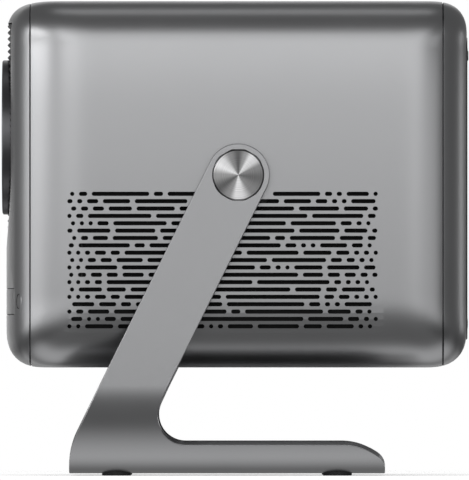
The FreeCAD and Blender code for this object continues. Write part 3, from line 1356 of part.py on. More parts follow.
# ---------------------------------------------------------------- build and write
BUILDERS = (
    hub_screws, loader_screws, board_screws,
    stand_bracket, stand_feet, friction_washers, tilt_hubs, pivot_caps,
    sleeve_housing, front_bezel, ribbed_front_panel, lens_ring, rear_cover, rear_panel, sockets,
    power_button, power_switch, eject_button, eject_switch, receiver_window,
    inner_frame, deck_plate, loader_chassis, clamp_bridge, disc_clamper, disc_tray, tray_door,
    drive_gear, loading_motor, motor_pulley, drive_belt,
    traverse_frame, guide_rods, spindle_motor, turntable, laser_sled, pickup_lens, lead_screw,
    sled_motor, light_engine, lens_barrel, focus_barrel, lenses, light_source, heatsink,
    dust_filters, fan_frames, fan_wheels, speaker_frames, speaker_cones, speaker_magnets,
    main_board, side_boards,
)

NODES = (
    "stand_bracket", "stand_feet", "friction_washers",
    "tilt_hubs", "pivot_caps", "hub_screws", "sleeve_housing", "front_bezel",
    "ribbed_front_panel", "lens_ring", "rear_cover", "rear_panel", "hdmi_socket", "usb_socket",
    "network_socket", "audio_socket", "power_inlet", "power_button", "power_switch",
    "eject_button", "eject_switch", "receiver_window", "inner_frame", "deck_plate",
    "loader_chassis", "loader_screws", "clamp_bridge", "disc_clamper", "disc_tray", "tray_door",
    "drive_gear", "loading_motor", "motor_pulley", "drive_belt", "traverse_frame", "guide_rods",
    "spindle_motor", "turntable", "laser_sled", "pickup_lens", "lead_screw", "sled_motor",
    "light_engine", "lens_barrel", "focus_barrel", "front_lens", "middle_lens", "light_source",
    "heatsink", "dust_filters", "fan_frames", "left_fan", "right_fan", "speaker_frames",
    "speaker_cones", "speaker_magnets", "main_board", "power_supply", "lamp_driver",
    "board_screws",
)

for build in BUILDERS:
    build()
doc.recompute()

for item in doc.Objects:
    if "Invalid" in item.State or "Error" in item.State:
        raise RuntimeError(f"{item.Label} did not build: {item.State}")
os.makedirs("parts", exist_ok=True)
for label in NODES:
    shape = doc.getObjectsByLabel(label)[0].Shape
    if shape.isNull() or not shape.isValid() or not shape.Solids:
        raise RuntimeError(f"{label} has no sound solid")
    shape.exportStep(f"parts/{label}.step")
print(f"{len(NODES)} nodes written")
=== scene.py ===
import math
import bmesh
import bpy
import numpy as np
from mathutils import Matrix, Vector
from mathutils.geometry import delaunay_2d_cdt


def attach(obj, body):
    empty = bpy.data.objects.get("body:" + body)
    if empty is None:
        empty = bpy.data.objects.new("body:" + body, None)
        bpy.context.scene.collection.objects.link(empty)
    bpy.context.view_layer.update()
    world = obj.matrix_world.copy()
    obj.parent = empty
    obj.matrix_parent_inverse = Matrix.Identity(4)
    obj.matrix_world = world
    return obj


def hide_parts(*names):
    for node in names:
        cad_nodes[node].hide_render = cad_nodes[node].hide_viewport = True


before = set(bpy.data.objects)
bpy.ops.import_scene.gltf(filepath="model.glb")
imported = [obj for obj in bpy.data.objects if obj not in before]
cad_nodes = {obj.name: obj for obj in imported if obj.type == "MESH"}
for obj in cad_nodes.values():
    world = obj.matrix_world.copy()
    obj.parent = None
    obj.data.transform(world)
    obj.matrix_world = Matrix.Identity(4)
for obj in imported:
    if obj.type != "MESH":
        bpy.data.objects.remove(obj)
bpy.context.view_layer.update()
MM = 0.001

# ---------------------------------------------------------------- camera
# A very long lens looks at the projector's own left side, so that near and far edges
# nearly fall together. It stands a little above the floor and looks slightly up.
LENS = 1650
SENSOR = 36
FRAME_LONG_SIDE = 240.0
SHARP_PLANE_X = 58.0
AIM_Y, AIM_Z = -0.18, 117.75
CAMERA_Z = 45.0


def linked(name, data):
    """A new object in the scene that carries the given data."""
    thing = bpy.data.objects.new(name, data)
    bpy.context.scene.collection.objects.link(thing)
    return thing


def aimed(thing, place, way):
    """Put a camera or a lamp in its place, facing along a direction."""
    thing.location = place
    thing.rotation_mode = "QUATERNION"
    thing.rotation_quaternion = way.to_track_quat("-Z", "Y")


camera_data = bpy.data.cameras.new("side_camera")
camera_data.lens = LENS
camera_data.sensor_width = SENSOR
camera = linked("side_camera", camera_data)
aim = Vector((SHARP_PLANE_X, AIM_Y, AIM_Z)) * MM
eye = Vector((SHARP_PLANE_X + FRAME_LONG_SIDE * LENS / SENSOR, AIM_Y, CAMERA_Z)) * MM
aimed(camera, eye, aim - eye)
bpy.context.scene.camera = camera

# ---------------------------------------------------------------- sleeve housing
# The casing's sleeve: one moulding with crowned, softly rounded edges all round, painted outside in a
# metallic satin grey, with its inside faces near-black as painted shade. Rows of slots are moulded low
# in each side, and a round seat in each side lets the tilt hub out.
HALF_WIDE, CASING_LOW, CASING_TOP = 103.0, 54.1, 236.8
CASING_FRONT, CASING_REAR, FRONT_CROWN = -114.75, 115.9, 500.0
PLAN_ROUND, TOP_ROUND, LOW_ROUND, TOP_END, LOW_END = 38.0, 23.0, 36.0, 17.0, 19.5
ROUND_POWER = 2.5
WALL = 2.4
SEAM_FRONT, SEAM_REAR, SEAM_GAP = -102.2, 103.8, 0.45
EDGE_EASE = 0.25
CASING_MIDDLE, SIDE_CROWN, TOP_CROWN, TOP_CROWN_LOW = (0.0, 5.0, 145.0), 0.0005, 0.18, 180.0
PIVOT_Y, PIVOT_Z, HOUSING_BORE, SEAT_CUT_X = 1.7, 149.8, 13.6, (80.0, 120.0)


def casing_level(spots, inset=0.0):
    """Below zero inside the casing's soft form, above zero outside it."""
    x, y, z = spots[..., 0], spots[..., 1], spots[..., 2]
    across = HALF_WIDE - inset - np.abs(x)
    crown = FRONT_CROWN - inset
    front = CASING_FRONT + FRONT_CROWN - np.sqrt(np.maximum(crown ** 2 - x ** 2, 1.0))
    along = np.minimum(y - front, CASING_REAR - inset - y)
    upper = z > (CASING_TOP + CASING_LOW) / 2
    up = np.where(upper, CASING_TOP - inset - z, z - CASING_LOW - inset)
    plan = PLAN_ROUND - inset
    section = np.where(upper, TOP_ROUND, LOW_ROUND) - inset
    end = np.where(upper, TOP_END, LOW_END) - inset
    near_x = np.maximum(1 - across / plan, 0) ** 2 + 1e-9
    near_y = np.maximum(1 - along / plan, 0) ** 2 + 1e-9
    near_z = np.maximum(1 - up / section, 0) ** 2 + 1e-9
    round_x = (plan * near_y + section * near_z) / (near_y + near_z)
    round_y = (plan * near_x + end * near_z) / (near_x + near_z)
    round_z = (section * near_x + end * near_y) / (near_x + near_y)
    total = 0
    for depth, radius in ((across, round_x), (along, round_y), (up, round_z)):
        total = total + np.maximum(1 - depth / radius, 0) ** ROUND_POWER
    return total - 1


def reach(starts, ways, inset=0.0):
    """Where rays from inside the casing meet its form."""
    near = np.zeros(len(starts))
    far = np.full(len(starts), 200.0)
    for _ in range(42):
        middle = (near + far) / 2
        outside = casing_level(starts + ways * middle[:, None], inset) > 0
        far = np.where(outside, middle, far)
        near = np.where(outside, near, middle)
    return starts + ways * near[:, None]


def casing_normals(spots, inset=0.0):
    """The form's outward direction at points on it, with the slight crown of its flat sides,
    which grows toward the top."""
    step = 0.01
    slopes = []
    for axis in range(3):
        shift = np.zeros(3)
        shift[axis] = step
        slopes.append(casing_level(spots + shift, inset) - casing_level(spots - shift, inset))
    slopes = np.stack(slopes, axis=-1)
    slopes /= np.maximum(np.linalg.norm(slopes, axis=-1, keepdims=True), 1e-12)
    slopes += (spots - np.array(CASING_MIDDLE)) * SIDE_CROWN
    rise = (spots[..., 2] - TOP_CROWN_LOW) / (CASING_TOP - TOP_CROWN_LOW)
    slopes[..., 2] += np.clip(rise, 0, 1) ** 2 * TOP_CROWN
    return slopes / np.linalg.norm(slopes, axis=-1, keepdims=True)


def casing_columns():
    """Start points and directions, once round the casing as seen from the front."""
    corner_x, top_z, low_z = 66.0, 213.0, 91.0
    corners = [(corner_x, low_z), (corner_x, top_z), (-corner_x, top_z), (-corner_x, low_z)]
    turns = np.radians(np.linspace(0, 90, 19)[1:-1])
    ways = ((1, 0), (0, 1), (-1, 0), (0, -1))
    columns = []
    for start, stop, (across, up) in zip(corners, corners[1:] + corners[:1], ways):
        columns += [(x, z, across, up) for x, z in np.linspace(start, stop, 21)]
        columns += [(*stop, across * math.cos(turn) - up * math.sin(turn),
                     across * math.sin(turn) + up * math.cos(turn)) for turn in turns]
    return np.array(columns, float)


COLUMNS = casing_columns()
COLUMN_WAYS = np.stack([COLUMNS[:, 2], np.zeros(len(COLUMNS)), COLUMNS[:, 3]], axis=1)


def column_starts(y):
    """The start points of all columns at a place along the casing's length."""
    return np.stack([COLUMNS[:, 0], np.full(len(COLUMNS), y), COLUMNS[:, 1]], axis=1)


def level_ring(y, inset=0.0):
    """One loop round the casing at a place along its length."""
    return reach(column_starts(y), COLUMN_WAYS, inset)


def plain_mesh(name, spots, faces, material=None):
    """A mesh object at the origin from points in millimetres."""
    mesh = bpy.data.meshes.new(name)
    mesh.from_pydata([tuple(spot) for spot in np.asarray(spots, float) * MM], [], faces)
    mesh.update()
    if material:
        mesh.materials.append(material)
    return linked(name, mesh)


def ring_faces(rings, count, closed):
    """Quads between loops of the same number of points."""
    faces = []
    for ring in range(rings if closed else rings - 1):
        after = (ring + 1) % rings
        for column in range(count):
            beside = (column + 1) % count
            faces.append((ring * count + column, after * count + column,
                          after * count + beside, ring * count + beside))
    return faces


def tube_faces(rings, count):
    """Quads between open loops, and a flat face on the first and the last."""
    ends = [tuple(range(count - 1, -1, -1)), tuple(range((rings - 1) * count, rings * count))]
    return ring_faces(rings, count, False) + ends


def closed_mesh(name, spots, faces, material=None):
    """A closed piece from points in millimetres, with its doubles merged and its faces outwards."""
    piece = plain_mesh(name, spots, faces, material)
    work = bmesh.new()
    work.from_mesh(piece.data)
    bmesh.ops.remove_doubles(work, verts=work.verts, dist=1e-7)
    bmesh.ops.recalc_face_normals(work, faces=work.faces)
    work.to_mesh(piece.data)
    work.free()
    piece.data.update()
    return piece


def joined(name, *pieces):
    """Several mesh pieces made into one."""
    work = bmesh.new()
    for piece in pieces:
        work.from_mesh(piece.data)
    mesh = bpy.data.meshes.new(name)
    work.to_mesh(mesh)
    work.free()
    for material in pieces[0].data.materials:
        mesh.materials.append(material)
    for piece in pieces:
        bpy.data.objects.remove(piece)
    return linked(name, mesh)


def settle(piece):
    """The piece's modifiers worked out into a plain mesh."""
    settled = bpy.context.evaluated_depsgraph_get()
    settled.update()
    mesh = bpy.data.meshes.new_from_object(piece.evaluated_get(settled))
    piece.modifiers.clear()
    piece.data = mesh
    mesh.name = piece.name


def carve(piece, *cutters):
    """Take closed cutters out of a closed piece, and delete them."""
    for cutter in cutters:
        change = piece.modifiers.new("carve", "BOOLEAN")
        change.operation = "DIFFERENCE"
        change.solver = "MANIFOLD"
        change.object = cutter
        settle(piece)
        bpy.data.objects.remove(cutter)


def gathered(items, name, width=1, kind=float):
    """One property of all of a mesh's items, with a row for each where it has several parts."""
    values = np.zeros(len(items) * width, kind)
    items.foreach_get(name, values)
    return values.reshape(-1, width) if width > 1 else values


def smooth_skin(piece, insets):
    """Give the crowned faces the form's own normals, and leave cut faces flat."""
    mesh = piece.data
    spots = gathered(mesh.vertices, "co", 3) / MM
    loops = gathered(mesh.loops, "vertex_index", kind=int)
    face_normals = gathered(mesh.polygons, "normal", 3)
    totals = gathered(mesh.polygons, "loop_total", kind=int)
    owner = np.repeat(np.arange(len(totals)), totals)
    normals = face_normals[owner].copy()
    step = 0.02
    for inset in insets:
        skin = casing_normals(spots, inset)
        below = casing_level(spots - skin * step, inset) < 0
        above = casing_level(spots + skin * step, inset) > 0
        facing = np.einsum("ij,ij->i", skin[loops], face_normals[owner])
        good = (below & above)[loops] & (np.abs(facing) > 0.94)
        whole = np.bincount(owner, weights=(~good).astype(float), minlength=len(totals)) == 0
        use = whole[owner]
        normals[use] = (skin[loops] * np.sign(facing)[:, None])[use]
    mesh.shade_smooth()
    mesh.normals_split_custom_set([tuple(normal) for normal in normals])


def seat_cutter(side, sides=96):
    """A round cutter along X, for the pivot's seat in one side."""
    turns = [2 * math.pi * number / sides for number in range(sides)]
    spots = [(side * x, PIVOT_Y + HOUSING_BORE * math.cos(turn), PIVOT_Z + HOUSING_BORE * math.sin(turn))
             for x in SEAT_CUT_X for turn in turns]
    return closed_mesh("seat_cutter", spots, tube_faces(2, sides))


def fill_inputs(tree, node, given):
    """Set a node's inputs, each from a value or from another node's output."""
    for socket, source in given.items():
        if isinstance(source, bpy.types.NodeSocket):
            tree.links.new(source, node.inputs[socket])
        else:
            node.inputs[socket].default_value = source


def add_node(tree, kind, given=None, **settings):
    """A new node with its own settings and its inputs."""
    node = tree.nodes.new(kind)
    for name, setting in settings.items():
        setattr(node, name, setting)
    fill_inputs(tree, node, given or {})
    return node


def worked_out(tree, operation, *given):
    """The result of a Math node on values or other nodes' outputs."""
    return add_node(tree, "ShaderNodeMath", dict(enumerate(given)), operation=operation).outputs[0]


def object_place(tree):
    """The Object coordinates, as an output."""
    return add_node(tree, "ShaderNodeTexCoord").outputs["Object"]


def noise_group(name, detail):
    """A shader group: one procedural noise in object space, as a value round zero."""
    group = bpy.data.node_groups.new(name, "ShaderNodeTree")
    for label, way in (("Size", "INPUT"), ("Amount", "INPUT"), ("Value", "OUTPUT")):
        group.interface.new_socket(label, in_out=way, socket_type="NodeSocketFloat")
    given = add_node(group, "NodeGroupInput").outputs
    scale = worked_out(group, "DIVIDE", 1.0, given["Size"])
    noise = add_node(group, "ShaderNodeTexNoise", {
        "Vector": object_place(group), "Scale": scale, "Detail": detail})
    centred = worked_out(group, "SUBTRACT", noise.outputs["Fac"], 0.5)
    value = worked_out(group, "MULTIPLY", centred, given["Amount"])
    add_node(group, "NodeGroupOutput", {"Value": value})
    return group


FINE_GRAIN = noise_group("fine_grain", 2.0)
BROAD_DRIFT = noise_group("broad_drift", 3.0)
DRIFT_SIZE = 0.03


def finish(name, colour, roughness, metallic=0.0, grain=0.0004, grain_depth=0.00002, spread=0.08,
           drift=0.04, **settings):
    """A material with fine grain in its surface and slight drift in colour and gloss."""
    material = bpy.data.materials.new(name)
    material.use_nodes = True
    tree = material.node_tree
    fine, broad = (add_node(tree, "ShaderNodeGroup", {"Size": size, "Amount": 1.0},
                            node_tree=group).outputs["Value"]
                   for group, size in ((FINE_GRAIN, grain), (BROAD_DRIFT, DRIFT_SIZE)))
    gloss = worked_out(tree, "MULTIPLY_ADD", broad, spread, roughness)
    shade = worked_out(tree, "MULTIPLY_ADD", broad, drift, 1.0)
    tint = add_node(tree, "ShaderNodeVectorMath", {0: colour, "Scale": shade}, operation="SCALE")
    bump = add_node(tree, "ShaderNodeBump", {"Strength": 1.0, "Distance": grain_depth, "Height": fine})
    named = {socket.replace("_", " "): setting for socket, setting in settings.items()}
    fill_inputs(tree, tree.nodes["Principled BSDF"], {
        "Metallic": metallic, "Roughness": gloss, "Base Color": tint.outputs["Vector"],
        "Normal": bump.outputs["Normal"], **named})
    return material


SATIN_GREY = finish("satin_grey_paint", (0.35, 0.352, 0.36), 0.34, metallic=1.0, grain=0.0003,
                    grain_depth=0.000004, spread=0.05, drift=0.03)

# Near-black for the shells' inside faces: painted shade for the dark inside seen through the slots.
SHADE_BLACK_INSIDE = finish("bare_black_inside", (0.004, 0.004, 0.004), 0.7, Specular_IOR_Level=0.2)


def shade_painted_inside(piece):
    """Give the faces inside a shell a near-black finish, as painted shade for its dark inside."""
    mesh = piece.data
    mesh.materials.append(SHADE_BLACK_INSIDE)
    inside = casing_level(gathered(mesh.polygons, "center", 3) / MM, WALL * 0.7) < 0
    mesh.polygons.foreach_set("material_index", inside.astype(np.int32) * (len(mesh.materials) - 1))


# Rows of slots from the top down, in mm: the plain length before the first slot, then each
# slot's length. The gap between two slots is the same everywhere.
VENT_ROWS = (
    "1.4: 2 4 28.5 4.5 50 23.5 3.5 2.5 11 2",
    "0: 2.5 2.5 5.5 13.5 26.1 43.3 13.5 5.7 2.5 2.3 12",
    "1.9: 2.5 3.5 5.5 11.5 19 57 20 12 2.5",
    "0: 2 3.5 31.5 75.3 25.4 3.8",
    "1.8: 2 2 2 5.5 26.5 57 22.5 5.5 2.5 2",
    "0: 2.5 16.5 20 66.9 20 11.5 2.5",
    "2.4: 2 3.5 7.5 22.5 53.5 5 22.5 11.5 4",
    "0.7: 2.5 25.5 5 65.3 5.4 2.4 2.3 13.4 5.4 2",
    "0: 2 2 2.5 5.5 4.5 58.4 25.8 14 6.5 2.5 2.5 2",
    "1.4: 2 2 4 5.5 13 59.5 27 5.5 4 2.5 2",
    "0: 2 2 16 66.2 5.5 2.5 2 14 16 5.6",
    "0.9: 2 4 5.5 5.5 10.5 74.5 10 6 5.5 3.5 2.5",
    "0: 2 2 2.5 3.5 72.5 36 3.4 2.4 2.3 2",
    "1.3: 2 11.5 9.5 79.5 13 5.5 11.5 2.5",
    "0: 2 2 2.5 5.5 4.5 48 46.7 4.8 5.3 2.4 2.4 2",
    "2.4: 11 8.5 5 43 38.5 5.5 2.5 2.5 13.5",
    "0: 2 3.5 10.5 56 4.5 38.8 11.4 3.5 2",
    "1.9: 5.5 2 2 5.5 91 17.5 5.5 2.5 2",
    "0: 2 2 14 43 2 2.5 12.5 20.5 9 13.5 2.3 2",
)
VENT_TOP, VENT_PITCH, VENT_HIGH, VENT_GAP, VENT_FRONT = 140.45, 3.665, 2.0, 2.4, -83.4
VENT_CLEAR, VENT_FLARE, BAR_SIDES, CUTTER_LONG = 16.0, 0.06, 16, 16.0


def vent_runs():
    """Each slot's middle and the half length between its round ends, clear of the pivot's seat."""
    runs = []
    for row, text in enumerate(VENT_ROWS):
        lead, lengths = text.split(":")
        low = VENT_FRONT + float(lead)
        z = VENT_TOP - row * VENT_PITCH
        seat = math.sqrt(max(VENT_CLEAR ** 2 - (z - PIVOT_Z) ** 2, 0))
        for length in map(float, lengths.split()):
            high = low + length
            spans = [(low, high)]
            if seat and low < PIVOT_Y + seat and high > PIVOT_Y - seat:
                spans = [(low, min(high, PIVOT_Y - seat)), (max(low, PIVOT_Y + seat), high)]
            for start, stop in spans:
                if stop - start >= VENT_HIGH:
                    runs.append(((start + stop) / 2, z, (stop - start - VENT_HIGH) / 2))
            low = high + VENT_GAP
    return runs


def slot_cutter_tree():
    """Geometry nodes: a round-ended bar on every point, stretched along Y by its half run."""
    tree = bpy.data.node_groups.new("slot_cutters", "GeometryNodeTree")
    for label, way, kind in (("Geometry", "INPUT", "Geometry"), ("Half Height", "INPUT", "Float"),
                             ("Depth", "INPUT", "Float"), ("Material", "INPUT", "Material"),
                             ("Geometry", "OUTPUT", "Geometry")):
        tree.interface.new_socket(label, in_out=way, socket_type="NodeSocket" + kind)
    given = add_node(tree, "NodeGroupInput").outputs
    bar = add_node(tree, "GeometryNodeMeshCylinder", {
        "Vertices": BAR_SIDES, "Radius": given["Half Height"], "Depth": given["Depth"]}).outputs["Mesh"]
    for turn in ((0.0, math.pi / 2, 0.0), (math.pi / BAR_SIDES, 0.0, 0.0)):
        bar = add_node(tree, "GeometryNodeTransform", {"Geometry": bar, "Rotation": turn}).outputs["Geometry"]
    spot = add_node(tree, "GeometryNodeInputPosition").outputs["Position"]
    parts = add_node(tree, "ShaderNodeSeparateXYZ", {0: spot}).outputs
    keep = add_node(tree, "GeometryNodeCaptureAttribute")
    keep.capture_items.new("FLOAT", "Side")
    fill_inputs(tree, keep, {"Geometry": bar, "Side": worked_out(tree, "SIGN", parts["Y"])})
    placed = add_node(tree, "GeometryNodeInstanceOnPoints", {
        "Points": given["Geometry"], "Instance": keep.outputs["Geometry"]}).outputs["Instances"]
    real = add_node(tree, "GeometryNodeRealizeInstances", {"Geometry": placed}).outputs["Geometry"]
    half = add_node(tree, "GeometryNodeInputNamedAttribute", {"Name": "half_run"}, data_type="FLOAT")
    shift = worked_out(tree, "MULTIPLY", keep.outputs["Side"], half.outputs["Attribute"])
    offset = add_node(tree, "ShaderNodeCombineXYZ", {"Y": shift}).outputs[0]
    bars = add_node(tree, "GeometryNodeSetPosition", {"Geometry": real, "Offset": offset}).outputs["Geometry"]
    bars = add_node(tree, "GeometryNodeSetMaterial", {
        "Geometry": bars, "Material": given["Material"]}).outputs["Geometry"]
    add_node(tree, "NodeGroupOutput", {"Geometry": bars})
    return tree


def set_inputs(change, tree, **values):
    """Set a geometry nodes modifier's inputs through their socket identifiers."""
    for item in tree.interface.items_tree:
        key = item.name.lower().replace(" ", "_")
        if item.item_type == "SOCKET" and item.in_out == "INPUT" and key in values:
            change[item.identifier] = values[key]


def vent_cutters(tree):
    """Every slot's cutter for both sides, as one closed mesh."""
    runs = vent_runs()
    spots = [(side * HALF_WIDE, y, z) for side in (1, -1) for y, z, half in runs]
    piece = plain_mesh("vent_cutters", spots, [])
    halves = piece.data.attributes.new("half_run", "FLOAT", "POINT")
    halves.data.foreach_set("value", [half * MM for side in (1, -1) for y, z, half in runs])
    change = piece.modifiers.new("slots", "NODES")
    change.node_group = tree
    set_inputs(change, tree, half_height=(VENT_HIGH / 2 + VENT_FLARE) * MM, depth=CUTTER_LONG * MM,
               material=SATIN_GREY)
    settle(piece)
    return piece


def sleeve():
    """The sleeve as a closed shell between the two seams, with more loops near its ends."""
    front, rear = SEAM_FRONT + SEAM_GAP / 2, SEAM_REAR - SEAM_GAP / 2
    places = (*np.linspace(front + EDGE_EASE, -62, 20), *np.linspace(-50, 62, 11),
              *np.linspace(74, rear - EDGE_EASE, 16))
    rings = [level_ring(front, EDGE_EASE)]
    rings += [level_ring(y) for y in places]
    rings += [level_ring(rear, EDGE_EASE)]
    rings += [level_ring(y, WALL) for y in (rear, *places[::-1], front)]
    faces = ring_faces(len(rings), len(COLUMNS), True)
    return closed_mesh("sleeve_skin", np.concatenate(rings), faces, SATIN_GREY)


# The black sheet's patches, painted shade behind the slots: each from and to along the casing, then from and
# to in height.
SHADE_SHEET_AREAS = ((-90.0, -76.4, 70.0, 144.0), (-76.4, 88.0, 70.0, 83.8), (76.0, 88.0, 83.8, 144.0))
SHADE_SHEET_SUNK, SHADE_SHEET_THICK = 0.05, 0.45


def slot_backing(side, low_y, high_y, low_z, high_z):
    """A black sheet on the wall's inside, behind the slots that the dust filter doesn't reach, as painted
    shade.
    """
    spots, count = [], 13
    for z in np.linspace(low_z, high_z, count):
        for inset, places in ((WALL - SHADE_SHEET_SUNK, np.linspace(low_y, high_y, count)),
                              (WALL - SHADE_SHEET_SUNK + SHADE_SHEET_THICK, np.linspace(high_y, low_y, count))):
            starts = np.stack([np.full(count, side * 60.0), places, np.full(count, z)], axis=1)
            spots.append(reach(starts, np.array([side, 0.0, 0.0]), inset))
    return closed_mesh("slot_backing", np.concatenate(spots), tube_faces(count, 2 * count))


sleeve_skin = sleeve()
carve(sleeve_skin, seat_cutter(1), seat_cutter(-1), vent_cutters(slot_cutter_tree()))
# Black sheets behind the open slots, as painted shade.
sleeve_skin = joined("sleeve_skin", sleeve_skin, *[
    slot_backing(side, *area) for side in (1, -1) for area in SHADE_SHEET_AREAS])
smooth_skin(sleeve_skin, (0.0, WALL))
# The sleeve's inside faces get the near-black painted shade.
shade_painted_inside(sleeve_skin)
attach(sleeve_skin, "projector")
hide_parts("sleeve_housing")

# ---------------------------------------------------------------- front bezel
# The front shell closes the sleeve and carries the ribbed panel and the lens ring. Its lip
# goes into the sleeve. A slot lets the disc tray out; beside it are two round holes.
FRONT_TURN_Y = CASING_FRONT + PLAN_ROUND
REAR_TURN_Y = CASING_REAR - PLAN_ROUND
LIP_EASE, LIP_THICK, LIP_LONG = 0.1, 1.6, 5.0
LENS_Z, PANEL_HALF, PANEL_TOP, PANEL_ARC = 169.7, 51.0, 226.6, 56.2
DOOR_HALF, DOOR_LOW, DOOR_HIGH, DOOR_GAP = 67.0, 80.5, 13.0, 0.2
EJECT_X, EJECT_Z, EJECT_RADIUS, EJECT_GAP = 77.0, 87.0, 3.6, 0.15
AHEAD_Y, PANEL_CUT_Y, DOOR_CUT_Y = -125.0, -96.0, -94.0


def end_rings(turn_y, seam_y, inset, pole_z, way):
    """Loops from a seam over the rounded end to a point on the end's own face."""
    seam = level_ring(seam_y, inset)
    starts = column_starts(turn_y)
    run = np.linalg.norm((seam - starts) * np.array([1, 0, 1]), axis=1)
    first = np.arctan2(abs(turn_y - seam_y), run)
    rings = [seam]
    ahead = np.array([0.0, way, 0.0])
    for share in np.linspace(0, 1, 17)[1:]:
        turn = (first + (math.pi / 2 - first) * share)[:, None]
        rings.append(reach(starts, np.cos(turn) * COLUMN_WAYS + np.sin(turn) * ahead, inset))
    pole = np.array([0.0, turn_y, pole_z])
    for share in (0.86, 0.72, 0.58, 0.44, 0.3, 0.16, 0.04):
        rings.append(reach(pole + (starts - pole) * share, ahead, inset))
    return rings


def end_shell(name, turn_y, edge_y, way, pole_z):
    """A closed end shell with its lip, before its openings are cut."""
    outer = end_rings(turn_y, edge_y + way * EDGE_EASE, 0.0, pole_z, way)
    inner = end_rings(turn_y, edge_y + way * LIP_LONG, WALL, pole_z, way)
    lip = WALL + LIP_EASE
    tongue_y = edge_y - way * (LIP_LONG + SEAM_GAP / 2)
    root_y = edge_y + way * LIP_LONG
    under = lip + LIP_THICK
    edge = [level_ring(y, inset) for y, inset in (
        (edge_y, EDGE_EASE), (edge_y, lip), (tongue_y, lip), (tongue_y, under), (root_y, under))]
    rings = outer[::-1] + edge + inner
    return closed_mesh(name, np.concatenate(rings), tube_faces(len(rings), len(COLUMNS)), SATIN_GREY)


def prism(name, outline, low_y, high_y):
    """A closed cutter or plate: an outline of (x, z) points carried along Y."""
    spots = [(x, y, z) for y in (low_y, high_y) for x, z in outline]
    return closed_mesh(name, spots, tube_faces(2, len(outline)))


def panel_outline(grow):
    """The ribbed panel's outline: straight sides and top, and an arc about the lens below."""
    half, radius = PANEL_HALF + grow, PANEL_ARC + grow
    last = math.asin(half / radius)
    spots = [(radius * math.sin(turn), LENS_Z - radius * math.cos(turn))
             for turn in np.linspace(-last, last, 49)]
    return spots + [(half, PANEL_TOP + grow), (-half, PANEL_TOP + grow)]


def round_box(half, low, high, radius, middle=0.0):
    """A rectangle in X and Z with rounded corners."""
    spots = []
    for x, z, first in ((half - radius, high - radius, 0), (radius - half, high - radius, 90),
                        (radius - half, low + radius, 180), (half - radius, low + radius, 270)):
        for turn in np.radians(np.linspace(first, first + 90, 7)):
            spots.append((middle + x + radius * math.cos(turn), z + radius * math.sin(turn)))
    return spots


def disc(radius, x, z, sides=64):
    """A circle of points in X and Z."""
    return [(x + radius * math.cos(turn), z + radius * math.sin(turn))
            for turn in np.linspace(0, 2 * math.pi, sides, endpoint=False)]


bezel_skin = end_shell("bezel_skin", FRONT_TURN_Y, SEAM_FRONT - SEAM_GAP / 2, -1.0, LENS_Z)
carve(bezel_skin,
      prism("panel_opening", panel_outline(0.0), AHEAD_Y, PANEL_CUT_Y),
      prism("tray_opening", round_box(DOOR_HALF + DOOR_GAP, DOOR_LOW - DOOR_GAP,
                                      DOOR_LOW + DOOR_HIGH + DOOR_GAP, 0.5), AHEAD_Y, DOOR_CUT_Y),
      prism("eject_hole", disc(EJECT_RADIUS + EJECT_GAP, EJECT_X, EJECT_Z), AHEAD_Y, DOOR_CUT_Y),
      prism("window_hole", disc(EJECT_RADIUS, -EJECT_X, EJECT_Z), AHEAD_Y, DOOR_CUT_Y))
smooth_skin(bezel_skin, (0.0, WALL, WALL + LIP_EASE))
# The bezel's inside faces get the near-black painted shade.
shade_painted_inside(bezel_skin)
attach(bezel_skin, "projector")
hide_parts("front_bezel")

# ---------------------------------------------------------------- rear cover
# The rear shell, moulded and painted like the sleeve, with a shallow seat and a window for the
# socket panel. Its lip goes into the sleeve as the front shell's does.
REAR_HALF, REAR_LOW, REAR_TOP, REAR_THICK, REAR_PROUD, REAR_RIM = 74.0, 68.0, 219.0, 2.4, 0.25, 4.0
SEAT_GAP, WINDOW_CUT_Y, BEHIND_Y = 0.2, 96.0, 125.0

cover_skin = end_shell("cover_skin", REAR_TURN_Y, SEAM_REAR + SEAM_GAP / 2, 1.0, 143.0)
carve(cover_skin,
      prism("panel_seat", round_box(REAR_HALF + SEAT_GAP, REAR_LOW - SEAT_GAP, REAR_TOP + SEAT_GAP, 8.2),
            CASING_REAR + REAR_PROUD - REAR_THICK, BEHIND_Y),
      prism("panel_window", round_box(REAR_HALF - REAR_RIM, REAR_LOW + REAR_RIM, REAR_TOP - REAR_RIM, 4),
            WINDOW_CUT_Y, BEHIND_Y))
smooth_skin(cover_skin, (0.0, WALL, WALL + LIP_EASE))
# The cover's inside faces get the near-black painted shade.
shade_painted_inside(cover_skin)
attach(cover_skin, "projector")
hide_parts("rear_cover")

# ---------------------------------------------------------------- stand bracket
# One plate of 3 mm aluminium, blanked, bent into a U with two large bends, and painted like
# the casing. Its edges are eased; each arm ends in a round head with the pivot's bore.
STAND_HALF, PLATE, BEND, STAND_LOW = 108.0, 3.15, 44.0, 1.1
STAND_FRONT, STAND_REAR = -82.8, 75.0
ARM_LEAN, ARM_HALF, HEAD_FLAT = math.radians(26.4), 15.5, 0.2
LIP_TOP, CROTCH_ROUND, TOE_ROUND = 17.35, 13.6, 40.0
HEEL_RUN, HEEL_LOW, HEEL_ROUND, HEEL_END_ROUND = 12.0, 9.5, 30.0, 8.0
BORE, BLANK_EASE, GRID_STEP, GRID_CLEAR = 12.8, 0.45, 4.0, 1.4
BASE_HALF = STAND_HALF - BEND
BEND_TOP = STAND_LOW + BEND
BEND_RUN = BEND * math.pi / 2


